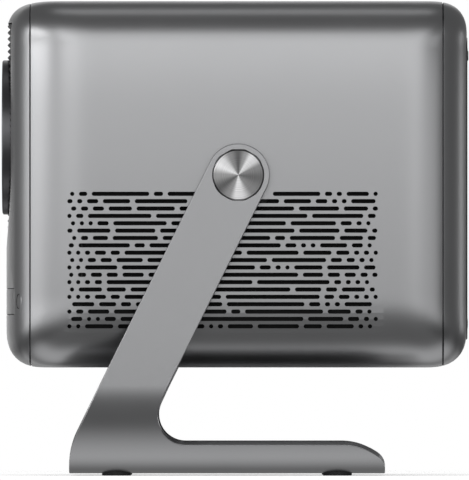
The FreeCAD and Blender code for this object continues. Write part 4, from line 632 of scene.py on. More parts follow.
def rounded_path(corners, step=1.0):
    """Points along a closed path whose corners (first, second, radius) are rounded."""
    spots = [Vector(corner[:2]) for corner in corners]
    path = []
    for number, (spot, (*_, radius)) in enumerate(zip(spots, corners)):
        if not radius:
            path.append(spot)
            continue
        back = (spots[number - 1] - spot).normalized()
        ahead = (spots[(number + 1) % len(spots)] - spot).normalized()
        half = back.angle(ahead) / 2
        centre = spot + (back + ahead).normalized() * (radius / math.sin(half))
        start = spot + back * (radius / math.tan(half)) - centre
        stop = spot + ahead * (radius / math.tan(half)) - centre
        turn = math.atan2(start.x * stop.y - start.y * stop.x, start.dot(stop))
        pieces = max(int(abs(turn) * radius / step), 4)
        angle = math.atan2(start.y, start.x)
        for piece in range(pieces + 1):
            way = angle + turn * piece / pieces
            path.append(centre + Vector((math.cos(way), math.sin(way))) * radius)
    return path


def filled(path, longest=2.2):
    """An open path of points with extra points on its long runs."""
    result = []
    for before, after in zip(path, path[1:]):
        pieces = max(int((after - before).length / longest), 1)
        result += [before.lerp(after, piece / pieces) for piece in range(pieces)]
    return result + path[-1:]


def run_of(z):
    """How far a height on the plate's inner face lies from the base's middle, along the plate."""
    if z >= BEND_TOP:
        return BASE_HALF + BEND_RUN + z - BEND_TOP
    return BASE_HALF + BEND * math.acos(min((BEND_TOP - z) / (BEND - PLATE), 1))


def blank_outline():
    """The flat blank as (along Y, run along the plate), round both arms, anticlockwise."""
    up, over = math.cos(ARM_LEAN), math.sin(ARM_LEAN)
    front_y, front_z = PIVOT_Y + ARM_HALF * (over - up), PIVOT_Z + ARM_HALF * (up + over)
    rear_y, rear_z = PIVOT_Y + ARM_HALF * (over + up), PIVOT_Z + ARM_HALF * (up - over)
    slope = math.tan(ARM_LEAN)
    side_view = rounded_path([
        (STAND_REAR, 0.0, 0), (STAND_FRONT, 0.0, 0),
        (STAND_FRONT, front_z - (front_y - STAND_FRONT) / slope, TOE_ROUND),
        (front_y, front_z, ARM_HALF - HEAD_FLAT), (rear_y, rear_z, ARM_HALF - HEAD_FLAT),
        (rear_y - (rear_z - LIP_TOP) * slope, LIP_TOP, CROTCH_ROUND),
        (STAND_REAR - HEEL_RUN, LIP_TOP, HEEL_ROUND), (STAND_REAR, HEEL_LOW, HEEL_END_ROUND),
    ])
    side_view = filled(side_view[1:] + side_view[:1])
    arm = [Vector((spot.x, run_of(spot.y))) for spot in side_view if spot.y > STAND_LOW + PLATE]
    arm = filled([Vector((STAND_FRONT, 0.0))] + arm + [Vector((STAND_REAR, 0.0))])
    whole = arm + [Vector((spot.x, -spot.y)) for spot in arm[-2:0:-1]]
    return whole[::-1]


def inward(path, amount):
    """A closed path moved to its left side."""
    result = []
    for number, spot in enumerate(path):
        along = path[(number + 1) % len(path)] - path[number - 1]
        result.append(spot + Vector((-along.y, along.x)).normalized() * amount)
    return result


def bent(spot, depth):
    """A point of the flat blank in the bent plate, and the outer face's direction there."""
    side = 1 if spot.y >= 0 else -1
    run = abs(spot.y)
    if run <= BASE_HALF:
        return Vector((side * run, spot.x, STAND_LOW + depth)), Vector((0, 0, -1))
    turn = min((run - BASE_HALF) / BEND, math.pi / 2)
    sine, cosine = math.sin(turn), math.cos(turn)
    rise = max(run - BASE_HALF - BEND_RUN, 0)
    across = BASE_HALF + (BEND - depth) * sine
    place = Vector((side * across, spot.x, BEND_TOP - (BEND - depth) * cosine + rise))
    return place, Vector((side * sine, 0, -cosine))


def bent_way(spot, way):
    """A direction in the flat blank as it lies in the bent plate."""
    return (bent(spot + way * 0.01, 0)[0] - bent(spot, 0)[0]).normalized()


def inner_grid(outline, middles):
    """Even points inside the blank's outline, clear of its edge and of both bores."""
    bend_end = BASE_HALF + BEND_RUN
    runs = np.concatenate([np.linspace(-BASE_HALF, BASE_HALF, 17), np.linspace(BASE_HALF, bend_end, 25)[1:],
                           np.linspace(bend_end, run_of(PIVOT_Z) + ARM_HALF, 20)[1:]])
    runs = np.concatenate([runs, -runs[17:]])
    grid = np.array([(y, run) for run in runs for y in np.arange(STAND_FRONT + 3, STAND_REAR, GRID_STEP)])
    shape = np.array(outline)
    inside = np.zeros(len(grid), bool)
    for before, after in zip(np.roll(shape, 1, 0), shape):
        cross = (before[1] > grid[:, 1]) != (after[1] > grid[:, 1])
        rise = after[1] - before[1]
        place = before[0] + (grid[:, 1] - before[1]) * (after[0] - before[0]) / (rise if rise else 1)
        inside ^= cross & (grid[:, 0] < place)
    nearest = np.min(np.hypot(*(grid[:, None] - shape[None]).transpose(2, 0, 1)), axis=1)
    keep = inside & (nearest > GRID_CLEAR)
    for middle in middles:
        keep &= np.hypot(*(grid - np.array(middle)).T) > BORE + 1.5
    return [Vector(spot) for spot in grid[keep]]


def stand():
    """Both faces of the bent plate, joined by eased edges round the outline and the bores."""
    middles = [Vector((PIVOT_Y, side * run_of(PIVOT_Z))) for side in (1, -1)]
    outline = blank_outline()
    bores = [[middle + Vector((math.cos(turn), -math.sin(turn))) * BORE
              for turn in np.linspace(0, 2 * math.pi, 97)[:-1]] for middle in middles]
    edge = BLANK_EASE
    rows = [(edge, 0, 0), (edge * 0.3, edge * 0.3, 45), (0, edge, 90), (0, PLATE - edge, 90),
            (edge * 0.3, PLATE - edge * 0.3, 135), (edge, PLATE, 180)]
    spots, normals, faces = [], [], []
    rims = {0: [], PLATE: []}
    for path in [outline] + bores:
        count, first = len(path), len(spots)
        for row, (amount, depth, turned_by) in enumerate(rows):
            moved = inward(path, amount)
            angle = math.radians(turned_by)
            for number, point in enumerate(moved):
                place, out = bent(point, depth)
                along = path[(number + 1) % count] - path[number - 1]
                side = bent_way(path[number], Vector((along.y, -along.x)).normalized())
                spots.append(place)
                normals.append(out * math.cos(angle) + side * math.sin(angle))
            if depth in rims:
                rims[depth].append((moved, first + row * count))
        faces += [tuple(first + corner for corner in face) for face in ring_faces(len(rows), count, False)]
    extra = inner_grid(outline, middles)
    for depth, loops in rims.items():
        points, ids, edges = [], [], []
        for moved, start in loops:
            at = len(points)
            points += moved
            ids += range(start, start + len(moved))
            edges += [(at + number, at + (number + 1) % len(moved)) for number in range(len(moved))]
        ids += range(len(spots), len(spots) + len(extra))
        points += extra
        for spot in extra:
            place, out = bent(spot, depth)
            spots.append(place)
            normals.append(out if depth == 0 else -out)
        found = delaunay_2d_cdt(points, edges, [], 1, 1e-6)
        for triangle in found[2]:
            corners = [found[3][corner][0] for corner in triangle]
            centre = sum((points[corner] for corner in corners), Vector((0, 0))) / 3
            if all((centre - middle).length > BORE for middle in middles):
                face = [ids[corner] for corner in corners]
                faces.append(face if depth == 0 else face[::-1])
    piece = plain_mesh("stand_plate", spots, faces, SATIN_GREY)
    piece.data.shade_smooth()
    piece.data.normals_split_custom_set_from_vertices([tuple(normal.normalized()) for normal in normals])
    return piece


stand_plate = stand()
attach(stand_plate, "stand")
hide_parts("stand_bracket")

# ---------------------------------------------------------------- stand feet
# Four pads of black rubber, stuck under the base; their lower edges are rounded, and they
# run out sideways to where the plate begins to bend up, so that their ends show.
FOOT_RADIUS, FOOT_ACROSS, FOOT_FRONT, FOOT_REAR = 7.3, 52.0, -59.1, 51.2
FOOT_REACH, FOOT_TOP = 14.0, 2.2
RUBBER = finish("black_rubber", (0.014, 0.014, 0.015), 0.7, grain=0.0006, grain_depth=0.00003)


def softened(piece, degrees):
    """Shade a piece smooth, with its edges sharp above an angle."""
    piece.data.shade_smooth()
    piece.data.set_sharp_from_angle(angle=math.radians(degrees))
    return piece


def turned_piece(name, axis, middle, corners, material, sides=96, smooth=32):
    """A turned piece: a closed section of (along, radius, rounding) swept round an axis."""
    section = rounded_path(corners, 0.3)
    order = {"x": (0, 1, 2), "y": (1, 2, 0), "z": (2, 0, 1)}[axis]
    spots = []
    for number in range(sides):
        turn = 2 * math.pi * number / sides
        for along, radius in section:
            spot = Vector()
            for way, part in zip(order, (along, radius * math.cos(turn), radius * math.sin(turn))):
                spot[way] = part
            spots.append(spot + Vector(middle))
    return softened(closed_mesh(name, spots, ring_faces(sides, len(section), True), material), smooth)


feet = []
for across in (-FOOT_ACROSS, FOOT_ACROSS):
    for along in (FOOT_FRONT, FOOT_REAR):
        foot = turned_piece("foot", "z", (across, along, 0), [
            (0.0, 0.0, 0), (0.0, FOOT_RADIUS, 0.5), (FOOT_TOP, FOOT_RADIUS, 0), (FOOT_TOP, 0.0, 0),
        ], RUBBER, 72)
        outward_shift = math.copysign(FOOT_REACH * MM, across)
        for vertex in foot.data.vertices:
            if (vertex.co.x - across * MM) * outward_shift > 1e-9:
                vertex.co.x += outward_shift
        feet.append(foot)
rubber_pads = joined("rubber_pads", *feet)
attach(rubber_pads, "stand")
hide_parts("stand_feet")

# ---------------------------------------------------------------- pivot caps
# Round aluminium caps pressed on the tilt hubs. Their faces are turned with fine rings, and bright
# and dark sectors are painted into their colour as a painted sheen; their rims have a polished bevel.
CAP_RADIUS, CAP_THICK, CAP_BEVEL = 12.6, 1.3, 0.5
CAP_SHADE, RING_PITCH, RING_DEEP, RING_SHADES = 0.3, 0.5, 0.002, (0.88, 1.1)
# Painted sheen: how bright the cap's colour is painted, by the direction round the cap in degrees.
PAINTED_SHEEN_SECTORS = ((-145, 0.12), (-115, 0.3), (-96, 0.8), (-82, 0.78), (-50, 0.24), (-8, 0.13), (22, 0.22),
                  (42, 0.6), (56, 0.7), (70, 0.3), (90, 0.11), (112, 0.24), (138, 0.62), (152, 0.7))


def ranged(tree, value, low, high, to_low=0.0, to_high=1.0, way="LINEAR"):
    """A value carried from one range to another."""
    given = {"Value": value, "From Min": low, "From Max": high, "To Min": to_low, "To Max": to_high}
    return add_node(tree, "ShaderNodeMapRange", given, interpolation_type=way).outputs["Result"]


def eased_greys(tree, place, ends, between, blue=1.0):
    """A smooth row of greys, each as (place, shade), read at a value."""
    node = add_node(tree, "ShaderNodeValToRGB", {"Fac": place})
    node.color_ramp.interpolation = "EASE"
    stops = node.color_ramp.elements
    for stop, (spot, shade) in zip(stops, ends):
        stop.position, stop.color = spot, (shade, shade, shade, 1)
    for spot, shade in between:
        stops.new(spot).color = (shade, shade, shade * blue, 1)
    return node.outputs["Color"]


def turned_metal_painted_sheen(name, roughness, anisotropy, y, z):
    """Metal with fine rings turned into its face round an axis along X, and a painted sheen of bright and
    dark sectors in its colour.
    """
    material = finish(name, (CAP_SHADE,) * 3, roughness, metallic=1.0, grain=0.0008, grain_depth=0.0,
                      spread=0.04, Anisotropic=anisotropy, Anisotropic_Rotation=0.25)
    tree = material.node_tree
    centre = add_node(tree, "ShaderNodeMapping", {
        "Vector": object_place(tree), "Location": (0.0, -y * MM, -z * MM)}).outputs["Vector"]
    parts = add_node(tree, "ShaderNodeSeparateXYZ", {0: centre}).outputs
    flat = add_node(tree, "ShaderNodeCombineXYZ", {"Y": parts["Y"], "Z": parts["Z"]}).outputs["Vector"]
    length = add_node(tree, "ShaderNodeVectorMath", {0: flat}, operation="LENGTH").outputs["Value"]
    rings = add_node(tree, "ShaderNodeTexNoise", {
        "W": length, "Scale": 1 / (RING_PITCH * MM), "Detail": 2.0}, noise_dimensions="1D").outputs["Fac"]
    turn = ranged(tree, worked_out(tree, "ARCTAN2", parts["Z"], parts["Y"]), -math.pi, math.pi)
    # Painted sheen: bright and dark sectors painted into the base colour by the direction round the axis.
    sheen_sectors = eased_greys(tree, turn, ((0.0, CAP_SHADE), (1.0, CAP_SHADE)), [
        ((degrees + 180) / 360, shade) for degrees, shade in PAINTED_SHEEN_SECTORS], 1.01)
    colour = add_node(tree, "ShaderNodeVectorMath", {
        0: sheen_sectors, "Scale": ranged(tree, rings, 0.3, 0.7, *RING_SHADES)}, operation="SCALE")
    bump = add_node(tree, "ShaderNodeBump", {"Height": rings, "Distance": RING_DEEP * MM})
    around = add_node(tree, "ShaderNodeTangent", direction_type="RADIAL", axis="X")
    fill_inputs(tree, tree.nodes["Principled BSDF"], {
        "Base Color": colour.outputs["Vector"], "Normal": bump.outputs["Normal"],
        "Tangent": around.outputs["Tangent"]})
    return material


TURNED_CAP_PAINTED_SHEEN = turned_metal_painted_sheen("turned_cap_metal", 0.3, 0.9, PIVOT_Y, PIVOT_Z)
caps = []
for side in (1, -1):
    face = side * STAND_HALF
    caps.append(turned_piece("cap", "x", (0, PIVOT_Y, PIVOT_Z), [
        (face - side * CAP_THICK, 0.0, 0), (face, 0.0, 0), (face, CAP_RADIUS - CAP_BEVEL, 0.15),
        (face - side * CAP_BEVEL, CAP_RADIUS, 0.15), (face - side * CAP_THICK, CAP_RADIUS, 0),
    ], TURNED_CAP_PAINTED_SHEEN, 128, 40))
cap_faces = joined("cap_faces", *caps)
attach(cap_faces, "projector")
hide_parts("pivot_caps")

# ---------------------------------------------------------------- ribbed front panel
# A crowned panel of black ABS round the lens, moulded with level ribs from edge to edge. It
# lies in the bezel's opening with a thin gap all round, and the lens ring fills its hole.
RIB_PITCH, RIB_DEEP, PANEL_INSET, PANEL_GAP, PANEL_THICK = 3.15, 1.5, 0.5, 0.3, 3.2
RING_RADIUS, RIB_POWER = 38.8, 1.15
RIBBED_BLACK = finish("ribbed_black_plastic", (0.008, 0.008, 0.009), 0.5, grain=0.0005, grain_depth=0.00001,
                      Specular_IOR_Level=0.15)


def slab(name, front, back, material):
    """A closed slab between two grids of points, one in front of the other."""
    rows, columns = front.shape[:2]
    half = rows * columns
    faces = []
    for row in range(rows - 1):
        for column in range(columns - 1):
            at = row * columns + column
            faces.append((at, at + 1, at + columns + 1, at + columns))
            faces.append((half + at, half + at + columns, half + at + columns + 1, half + at + 1))
    rim = list(range(columns)) + [row * columns + columns - 1 for row in range(1, rows)]
    rim += [half - columns + column for column in range(columns - 2, -1, -1)]
    rim += [row * columns for row in range(rows - 2, 0, -1)]
    for at, after in zip(rim, rim[1:] + rim[:1]):
        faces.append((at, half + at, half + after, after))
    return closed_mesh(name, np.concatenate([front.reshape(-1, 3), back.reshape(-1, 3)]), faces, material)


def ribbed_panel():
    """The panel as a closed shell: a ribbed front, a plain back, and the lens's hole."""
    top = PANEL_TOP - PANEL_GAP
    arc = PANEL_ARC - PANEL_GAP
    levels = np.linspace(LENS_Z - arc + 0.02, top, 8 * int((top - LENS_Z + arc) / RIB_PITCH) + 1)
    drop = np.maximum(LENS_Z - levels, 0)
    halves = np.minimum(np.sqrt(np.maximum(arc ** 2 - drop ** 2, 0)), PANEL_HALF - PANEL_GAP)
    shares = np.linspace(-1, 1, 33)
    x = halves[:, None] * shares[None]
    z = np.repeat(levels[:, None], len(shares), 1)
    face = CASING_FRONT + FRONT_CROWN - np.sqrt((FRONT_CROWN - PANEL_INSET) ** 2 - x ** 2)
    turn = (z - PANEL_TOP + 0.9 * RIB_PITCH) / RIB_PITCH
    wave = np.abs(2 * (turn - np.floor(turn)) - 1)
    front = np.stack([x, face + RIB_DEEP * wave ** RIB_POWER, z], -1)
    piece = slab("ribbed_panel", front, np.stack([x, face + PANEL_THICK, z], -1), RIBBED_BLACK)
    hole, behind_y = RING_RADIUS + PANEL_GAP, -100.0
    carve(piece, turned_piece("ring_hole", "y", (0, 0, LENS_Z), [
        (AHEAD_Y, 0.0, 0), (AHEAD_Y, hole, 0), (behind_y, hole, 0), (behind_y, 0.0, 0)], RIBBED_BLACK, 144))
    return softened(piece, 50)


ribbed_skin = ribbed_panel()
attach(ribbed_skin, "projector")
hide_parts("ribbed_front_panel")

# ---------------------------------------------------------------- lens ring, barrels and glass
# The ring is turned from aluminium and anodised dark grey. Behind it a black barrel slides
# in a fixed one; it holds two coated glass elements, and fine steps inside it stop glare.
RING_FRONT, RING_HOLE, RING_NECK, BARREL_FRONT = -116.82, 29.0, 33.0, -100.0
BARREL_BORE, FOCUS_EASE, FOCUS_FRONT, FOCUS_REAR, FOCUS_MOUTH = 27.0, 0.05, -104.0, -70.0, 22.5
FOCUS_STEP, FOCUS_SEAT, FOCUS_LIP, GLASS_CURVE, GLASS_THICK, GLASS_Y = 16.0, 18.0, 16.5, 60.0, 14.0, -95.5
STEP_PITCH, STEP_FALL, SEAT_THICK = 0.9, 0.14, 1.0
RING_BEVEL, RING_BEVEL_DEEP, RING_FACE, RING_RECESS, RING_BACK = 0.8, 0.6, 4.4, 9.0, CASING_FRONT + 6.5
RING_GREY = finish("dark_anodised_ring", (0.1, 0.1, 0.106), 0.32, metallic=0.85, grain=0.0003,
                   grain_depth=0.000003)
BARREL_BLACK = finish("matt_black_barrel", (0.012, 0.012, 0.013), 0.5, grain=0.0004)


def painted(piece, material):
    """A piece with one material and no other."""
    piece.data.materials.clear()
    piece.data.materials.append(material)
    return piece


def dress(material, *names):
    """Give CAD nodes a finish."""
    for name in names:
        painted(cad_nodes[name], material)


def coated_glass(name, film):
    """Clear glass with a thin coating that tints its reflections."""
    material = bpy.data.materials.new(name)
    material.use_nodes = True
    tree = material.node_tree
    fill_inputs(tree, tree.nodes["Principled BSDF"], {
        "Base Color": (0.93, 0.96, 1.0, 1.0), "Roughness": 0.02, "IOR": 1.52, "Transmission Weight": 1.0,
        "Thin Film Thickness": film, "Thin Film IOR": 1.8})
    return material


lens_ring = turned_piece("anodised_ring", "y", (0, 0, LENS_Z), [
    (RING_FRONT, RING_RADIUS - RING_BEVEL, 0.3), (RING_FRONT + RING_BEVEL_DEEP, RING_RADIUS, 0.3),
    (RING_BACK, RING_RADIUS, 0), (RING_BACK, RING_NECK, 0), (BARREL_FRONT, RING_NECK, 0),
    (BARREL_FRONT, RING_HOLE, 0), (RING_FRONT + RING_RECESS, RING_HOLE, 0.4),
    (RING_FRONT, RING_RADIUS - RING_FACE, 0.6),
], RING_GREY, 192)
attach(lens_ring, "projector")
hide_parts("lens_ring")

steps = [(FOCUS_FRONT + along + number * STEP_PITCH, FOCUS_MOUTH + rise - number * STEP_FALL, 0)
         for number in range(8) for along, rise in ((0.8, 1.2), (1.5, 1.2), (1.6, 1.0))]
seat_y = FOCUS_FRONT + FOCUS_STEP
focus_tube = turned_piece("focus_tube", "y", (0, 0, LENS_Z), [
    (FOCUS_FRONT, BARREL_BORE - FOCUS_EASE, 0.6), (FOCUS_FRONT, FOCUS_MOUTH + 1.4, 0.2)] + steps + [
    (seat_y, FOCUS_MOUTH, 0), (seat_y, FOCUS_LIP, 0),
    (seat_y + SEAT_THICK, FOCUS_LIP, 0), (seat_y + SEAT_THICK, FOCUS_SEAT, 0),
    (FOCUS_REAR, FOCUS_SEAT, 0), (FOCUS_REAR, BARREL_BORE - FOCUS_EASE, 0)], BARREL_BLACK, 128)
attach(focus_tube, "focus")
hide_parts("focus_barrel")

bulge = math.asin(FOCUS_MOUTH / GLASS_CURVE)
glass_front = [(GLASS_Y - GLASS_THICK / 2 + GLASS_CURVE * (1 - math.cos(turn)),
                min(GLASS_CURVE * math.sin(turn), FOCUS_MOUTH - 0.02), 0)
               for turn in np.linspace(0, bulge, 20)]
glass_rear = [(2 * GLASS_Y - along, radius, 0) for along, radius, _ in glass_front[::-1]]
front_glass = turned_piece("front_glass", "y", (0, 0, LENS_Z), glass_front + glass_rear,
                           coated_glass("violet_coated_glass", 460.0), 128)
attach(front_glass, "focus")
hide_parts("front_lens")
dress(BARREL_BLACK, "lens_barrel", "light_engine")
dress(coated_glass("green_coated_glass", 560.0), "middle_lens", "pickup_lens")

# ---------------------------------------------------------------- tray door
# The door on the tray's front, moulded and finished like the casing, with its face flush
# with the crowned front. A thin gap runs all round it.
DOOR_BACK, DOOR_EASE = -106.5, 0.35


def eased_places(low, high, count, ease):
    """Places from edge to edge, with one more at each end where the edge is eased."""
    return np.concatenate([[low, low + ease], np.linspace(low, high, count)[1:-1], [high - ease, high]])


def face_points(x, z):
    """The points of the casing's front at given places across and up."""
    starts = np.stack([x.ravel(), np.full(x.size, -60.0), z.ravel()], 1)
    return reach(starts, np.array([0.0, -1.0, 0.0])).reshape(x.shape + (3,))


def door():
    """A slab whose front follows the casing's form and whose edges are eased."""
    x, z = np.meshgrid(eased_places(-DOOR_HALF, DOOR_HALF, 41, DOOR_EASE),
                       eased_places(DOOR_LOW, DOOR_LOW + DOOR_HIGH, 7, DOOR_EASE))
    front = face_points(x, z)
    front[[0, -1], :, 1] += DOOR_EASE
    front[1:-1, [0, -1], 1] += DOOR_EASE
    back = front.copy()
    back[..., 1] = DOOR_BACK
    piece = slab("door_face", front, back, SATIN_GREY)
    smooth_skin(piece, (0.0,))
    return piece


door_face = door()
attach(door_face, "tray")
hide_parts("tray_door")

# ---------------------------------------------------------------- rear panel and its fittings
# A plate of black polycarbonate, screwed on at its corners. Its sockets stand on the main
# board behind it; the power button is a small round push button.
REAR_ROUND, EXHAUST_HALF, EXHAUST_LOW, EXHAUST_PITCH, EXHAUST_HIGH = 8.0, 56.0, 148.0, 8.0, 3.4
BOARD_TOP, SOCKET_GAP = 119.6, 0.2
SOCKETS = {"hdmi": (-52.0, 15.0, 5.6), "usb": (-30.0, 14.4, 6.8), "network": (-8.0, 16.0, 13.4),
           "audio": (12.0, 9.0, 9.0), "power": (46.0, 24.0, 16.0)}
REAR_EASE, CORNER_INSET, PLATE_CUT_Y = 0.35, 8.0, 105.0
HEAD_RADIUS, HEAD_CROWN, HEAD_SUNK, HEAD_PROUD = 2.7, 1.2, 0.6, 0.25
CROSS_DEEP, CROSS_ARMS = 0.35, ((1.5, 0.25), (0.25, 1.5))
NETWORK_PITCH, USB_PITCH, INLET_PINS = 1.02, 2.4, ((41.0, 7.0), (51.0, 7.0), (46.0, 10.4))
POWER_X, POWER_Z, POWER_RADIUS, POWER_PROUD, COLLAR, COLLAR_THICK = 52.0, 210.0, 2.5, 0.68, 1.5, 1.5
REAR_FACE = CASING_REAR + REAR_PROUD
COLLAR_Y = REAR_FACE - REAR_THICK - 1
PANEL_BLACK = finish("fine_black_panel", (0.016, 0.016, 0.018), 0.36, grain=0.0005, grain_depth=0.000012)
CONTACT_GOLD = finish("gold_plated_contacts", (0.83, 0.6, 0.24), 0.25, metallic=1.0)
SOCKET_BLACK = finish("socket_black_plastic", (0.02, 0.02, 0.021), 0.5)
WINDOW_DARK = finish("receiver_window_plastic", (0.03, 0.004, 0.006), 0.12)
SCREW_BLACK = finish("blackened_screw_steel", (0.09, 0.09, 0.095), 0.35, metallic=1.0)


def rear_plate():
    """The plate with slots for the air, a hole for each socket and one for the button."""
    outline = round_box(REAR_HALF, REAR_LOW, REAR_TOP, REAR_ROUND)
    inner = round_box(REAR_HALF - REAR_EASE, REAR_LOW + REAR_EASE, REAR_TOP - REAR_EASE,
                      REAR_ROUND - REAR_EASE)
    loops = ((REAR_FACE - REAR_THICK, outline), (REAR_FACE - REAR_EASE, outline), (REAR_FACE, inner))
    spots = [(x, y, z) for y, loop in loops for x, z in loop]
    piece = closed_mesh("rear_plate", spots, tube_faces(3, len(outline)), PANEL_BLACK)
    holes = [disc(POWER_RADIUS + 0.3, POWER_X, POWER_Z)]
    for middle, wide, high in SOCKETS.values():
        holes.append(round_box(wide / 2 + SOCKET_GAP, BOARD_TOP - SOCKET_GAP,
                               BOARD_TOP + high + SOCKET_GAP, 0.6, middle))
    for number in range(6):
        low = EXHAUST_LOW + number * EXHAUST_PITCH
        holes.append(round_box(EXHAUST_HALF, low, low + EXHAUST_HIGH, EXHAUST_HIGH / 2 - 0.01))
    carve(piece, *[prism("plate_hole", hole, PLATE_CUT_Y, BEHIND_Y) for hole in holes])
    return softened(piece, 30)


def small_block(x, y, up, ease=0.08):
    """A block with eased edges between pairs of coordinates, its height counted from the board."""
    spans = (x, y, [BOARD_TOP + rise for rise in up])
    work = bmesh.new()
    bmesh.ops.create_cube(work, size=1.0)
    for corner in work.verts:
        corner.co = Vector([low if share < 0 else high for share, (low, high) in zip(corner.co, spans)]) * MM
    bmesh.ops.bevel(work, geom=work.edges[:], offset=ease * MM, segments=2, affect="EDGES", profile=0.5)
    mesh = bpy.data.meshes.new("small_block")
    work.to_mesh(mesh)
    work.free()
    return linked("small_block", mesh)


rear_skin = rear_plate()
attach(rear_skin, "projector")
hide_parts("rear_panel")

tongues = [small_block((-56.5, -47.5), (107.0, 113.8), (2.3, 3.1)),
           small_block((-35.2, -24.8), (106.5, 113.5), (3.9, 5.4)),
           small_block((-12.4, -3.6), (105.6, 107.0), (1.4, 8.6))]
socket_tongues = painted(joined("socket_tongues", *tongues), SOCKET_BLACK)
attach(socket_tongues, "projector")
contacts = []
for number in range(8):
    left = -12.0 + NETWORK_PITCH * number
    contacts.append(small_block((left, left + 0.4), (107.0, 113.0), (9.6, 10.0)))
for number in range(4):
    left = -34.2 + USB_PITCH * number
    contacts.append(small_block((left, left + 1.2), (107.5, 113.0), (3.78, 3.95)))
for across, up in INLET_PINS:
    contacts.append(small_block((across - 0.9, across + 0.9), (106.0, 113.0), (up - 1.9, up + 1.9), 0.3))
socket_contacts = painted(joined("socket_contacts", *contacts), CONTACT_GOLD)
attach(socket_contacts, "projector")
heads = []
for across in (CORNER_INSET - REAR_HALF, REAR_HALF - CORNER_INSET):
    for up in (REAR_LOW + CORNER_INSET, REAR_TOP - CORNER_INSET):
        head = turned_piece("head", "y", (across, 0, up), [
            (REAR_FACE - HEAD_SUNK, 0.0, 0), (REAR_FACE + HEAD_PROUD, 0.0, 0),
            (REAR_FACE + HEAD_PROUD, HEAD_CROWN, 0), (REAR_FACE + 0.1, HEAD_RADIUS, 0.2),
            (REAR_FACE - HEAD_SUNK, HEAD_RADIUS, 0)], SCREW_BLACK, 40)
        carve(head, *[prism("slot", round_box(half_x, up - half_z, up + half_z, 0.1, across),
                            REAR_FACE - CROSS_DEEP, BEHIND_Y) for half_x, half_z in CROSS_ARMS])
        heads.append(head)
panel_screws = painted(joined("panel_screws", *heads), SCREW_BLACK)
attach(panel_screws, "projector")
button_face = turned_piece("button_face", "y", (POWER_X, 0, POWER_Z), [
    (COLLAR_Y - COLLAR_THICK, 0.0, 0), (REAR_FACE + POWER_PROUD, 0.0, 0),
    (REAR_FACE + POWER_PROUD, POWER_RADIUS, 0.4), (COLLAR_Y, POWER_RADIUS, 0),
    (COLLAR_Y, POWER_RADIUS + COLLAR, 0), (COLLAR_Y - COLLAR_THICK, POWER_RADIUS + COLLAR, 0)],
    PANEL_BLACK, 48)
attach(button_face, "power_button")
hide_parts("power_button")
dress(finish("plated_socket_steel", (0.62, 0.61, 0.58), 0.28, metallic=1.0),
      "hdmi_socket", "usb_socket", "network_socket")
dress(SOCKET_BLACK, "audio_socket", "power_inlet", "power_switch", "eject_switch")

# ---------------------------------------------------------------- eject button and window
# A round push button, painted like the casing, and a dark round window for the remote
# control stand beside the tray door. Their faces follow the casing's rounded front.
EJECT_SUNK, EJECT_COLLAR_Y, EJECT_BACK_Y, EJECT_COLLAR = 0.12, -101.45, -99.95, 1.2
WINDOW_SUNK, WINDOW_BACK_Y, WINDOW_FIT = 0.05, -102.35, 0.02


def following_stud(name, across, sections, material, sunk):
    """A round stud along Y: its face follows the casing, then come sections of (y, radius)."""
    sides, spots = 48, []
    turns = np.linspace(0, 2 * math.pi, sides, endpoint=False)
    for share, back in ((0.35, 0.0), (0.7, 0.0), (0.93, 0.0), (1.0, 0.25)):
        radius = EJECT_RADIUS * share
        ring = face_points(across + radius * np.cos(turns), EJECT_Z + radius * np.sin(turns))
        ring[:, 1] += sunk + back
        spots.append(ring)
    for y, radius in sections:
        spots.append(np.stack([across + radius * np.cos(turns), np.full(sides, y),
                               EJECT_Z + radius * np.sin(turns)], 1))
    return softened(closed_mesh(name, np.concatenate(spots), tube_faces(len(spots), sides), material), 35)


eject_face = following_stud("eject_face", EJECT_X, [
    (EJECT_COLLAR_Y, EJECT_RADIUS), (EJECT_COLLAR_Y, EJECT_RADIUS + EJECT_COLLAR),
    (EJECT_BACK_Y, EJECT_RADIUS + EJECT_COLLAR)], SATIN_GREY, EJECT_SUNK)
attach(eject_face, "eject_button")
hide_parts("eject_button")
window_face = following_stud("window_face", -EJECT_X, [
    (WINDOW_BACK_Y, EJECT_RADIUS - WINDOW_FIT)], WINDOW_DARK, WINDOW_SUNK)
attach(window_face, "projector")
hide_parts("receiver_window")

# ---------------------------------------------------------------- tilt hubs, washers, chassis
# Steel hubs are screwed to a folded chassis of black-coated steel sheet; hubs, chassis and deck are
# near-black, partly as painted shade where they show through the slots. Acetal washers press on the
# casing's sides and hold the tilt; a deck carries the boards and the optics.
dress(finish("phosphated_hub_steel", (0.03, 0.03, 0.031), 0.45, metallic=1.0), "tilt_hubs")
dress(finish("black_acetal", (0.025, 0.025, 0.026), 0.42), "friction_washers")
dress(finish("black_coated_sheet", (0.02, 0.02, 0.021), 0.5, grain=0.0006, grain_depth=0.00002),
      "inner_frame", "deck_plate")
dress(finish("zinc_screw_steel", (0.56, 0.56, 0.55), 0.3, metallic=1.0),
      "hub_screws", "loader_screws", "board_screws")

# ---------------------------------------------------------------- disc loader
# The loader is moulded in dark grey ABS. A motor drives a white acetal pinion through a
# rubber belt; the pinion moves the tray's rack, and a loose clamper holds the disc.
TRAY_BLACK = finish("tray_black_plastic", (0.022, 0.022, 0.024), 0.38, grain=0.0004, grain_depth=0.000012)
dress(finish("loader_grey_plastic", (0.05, 0.05, 0.054), 0.48, grain=0.0006, grain_depth=0.00002),
      "loader_chassis", "clamp_bridge")
dress(TRAY_BLACK, "disc_tray")
dress(finish("white_acetal", (0.72, 0.71, 0.67), 0.38, Subsurface_Weight=0.05),
      "drive_gear", "disc_clamper")
dress(finish("brass_pulley", (0.75, 0.56, 0.26), 0.3, metallic=1.0), "motor_pulley")
dress(finish("motor_can_steel", (0.5, 0.5, 0.5), 0.26, metallic=1.0),
      "loading_motor", "sled_motor", "spindle_motor")
dress(RUBBER, "drive_belt")

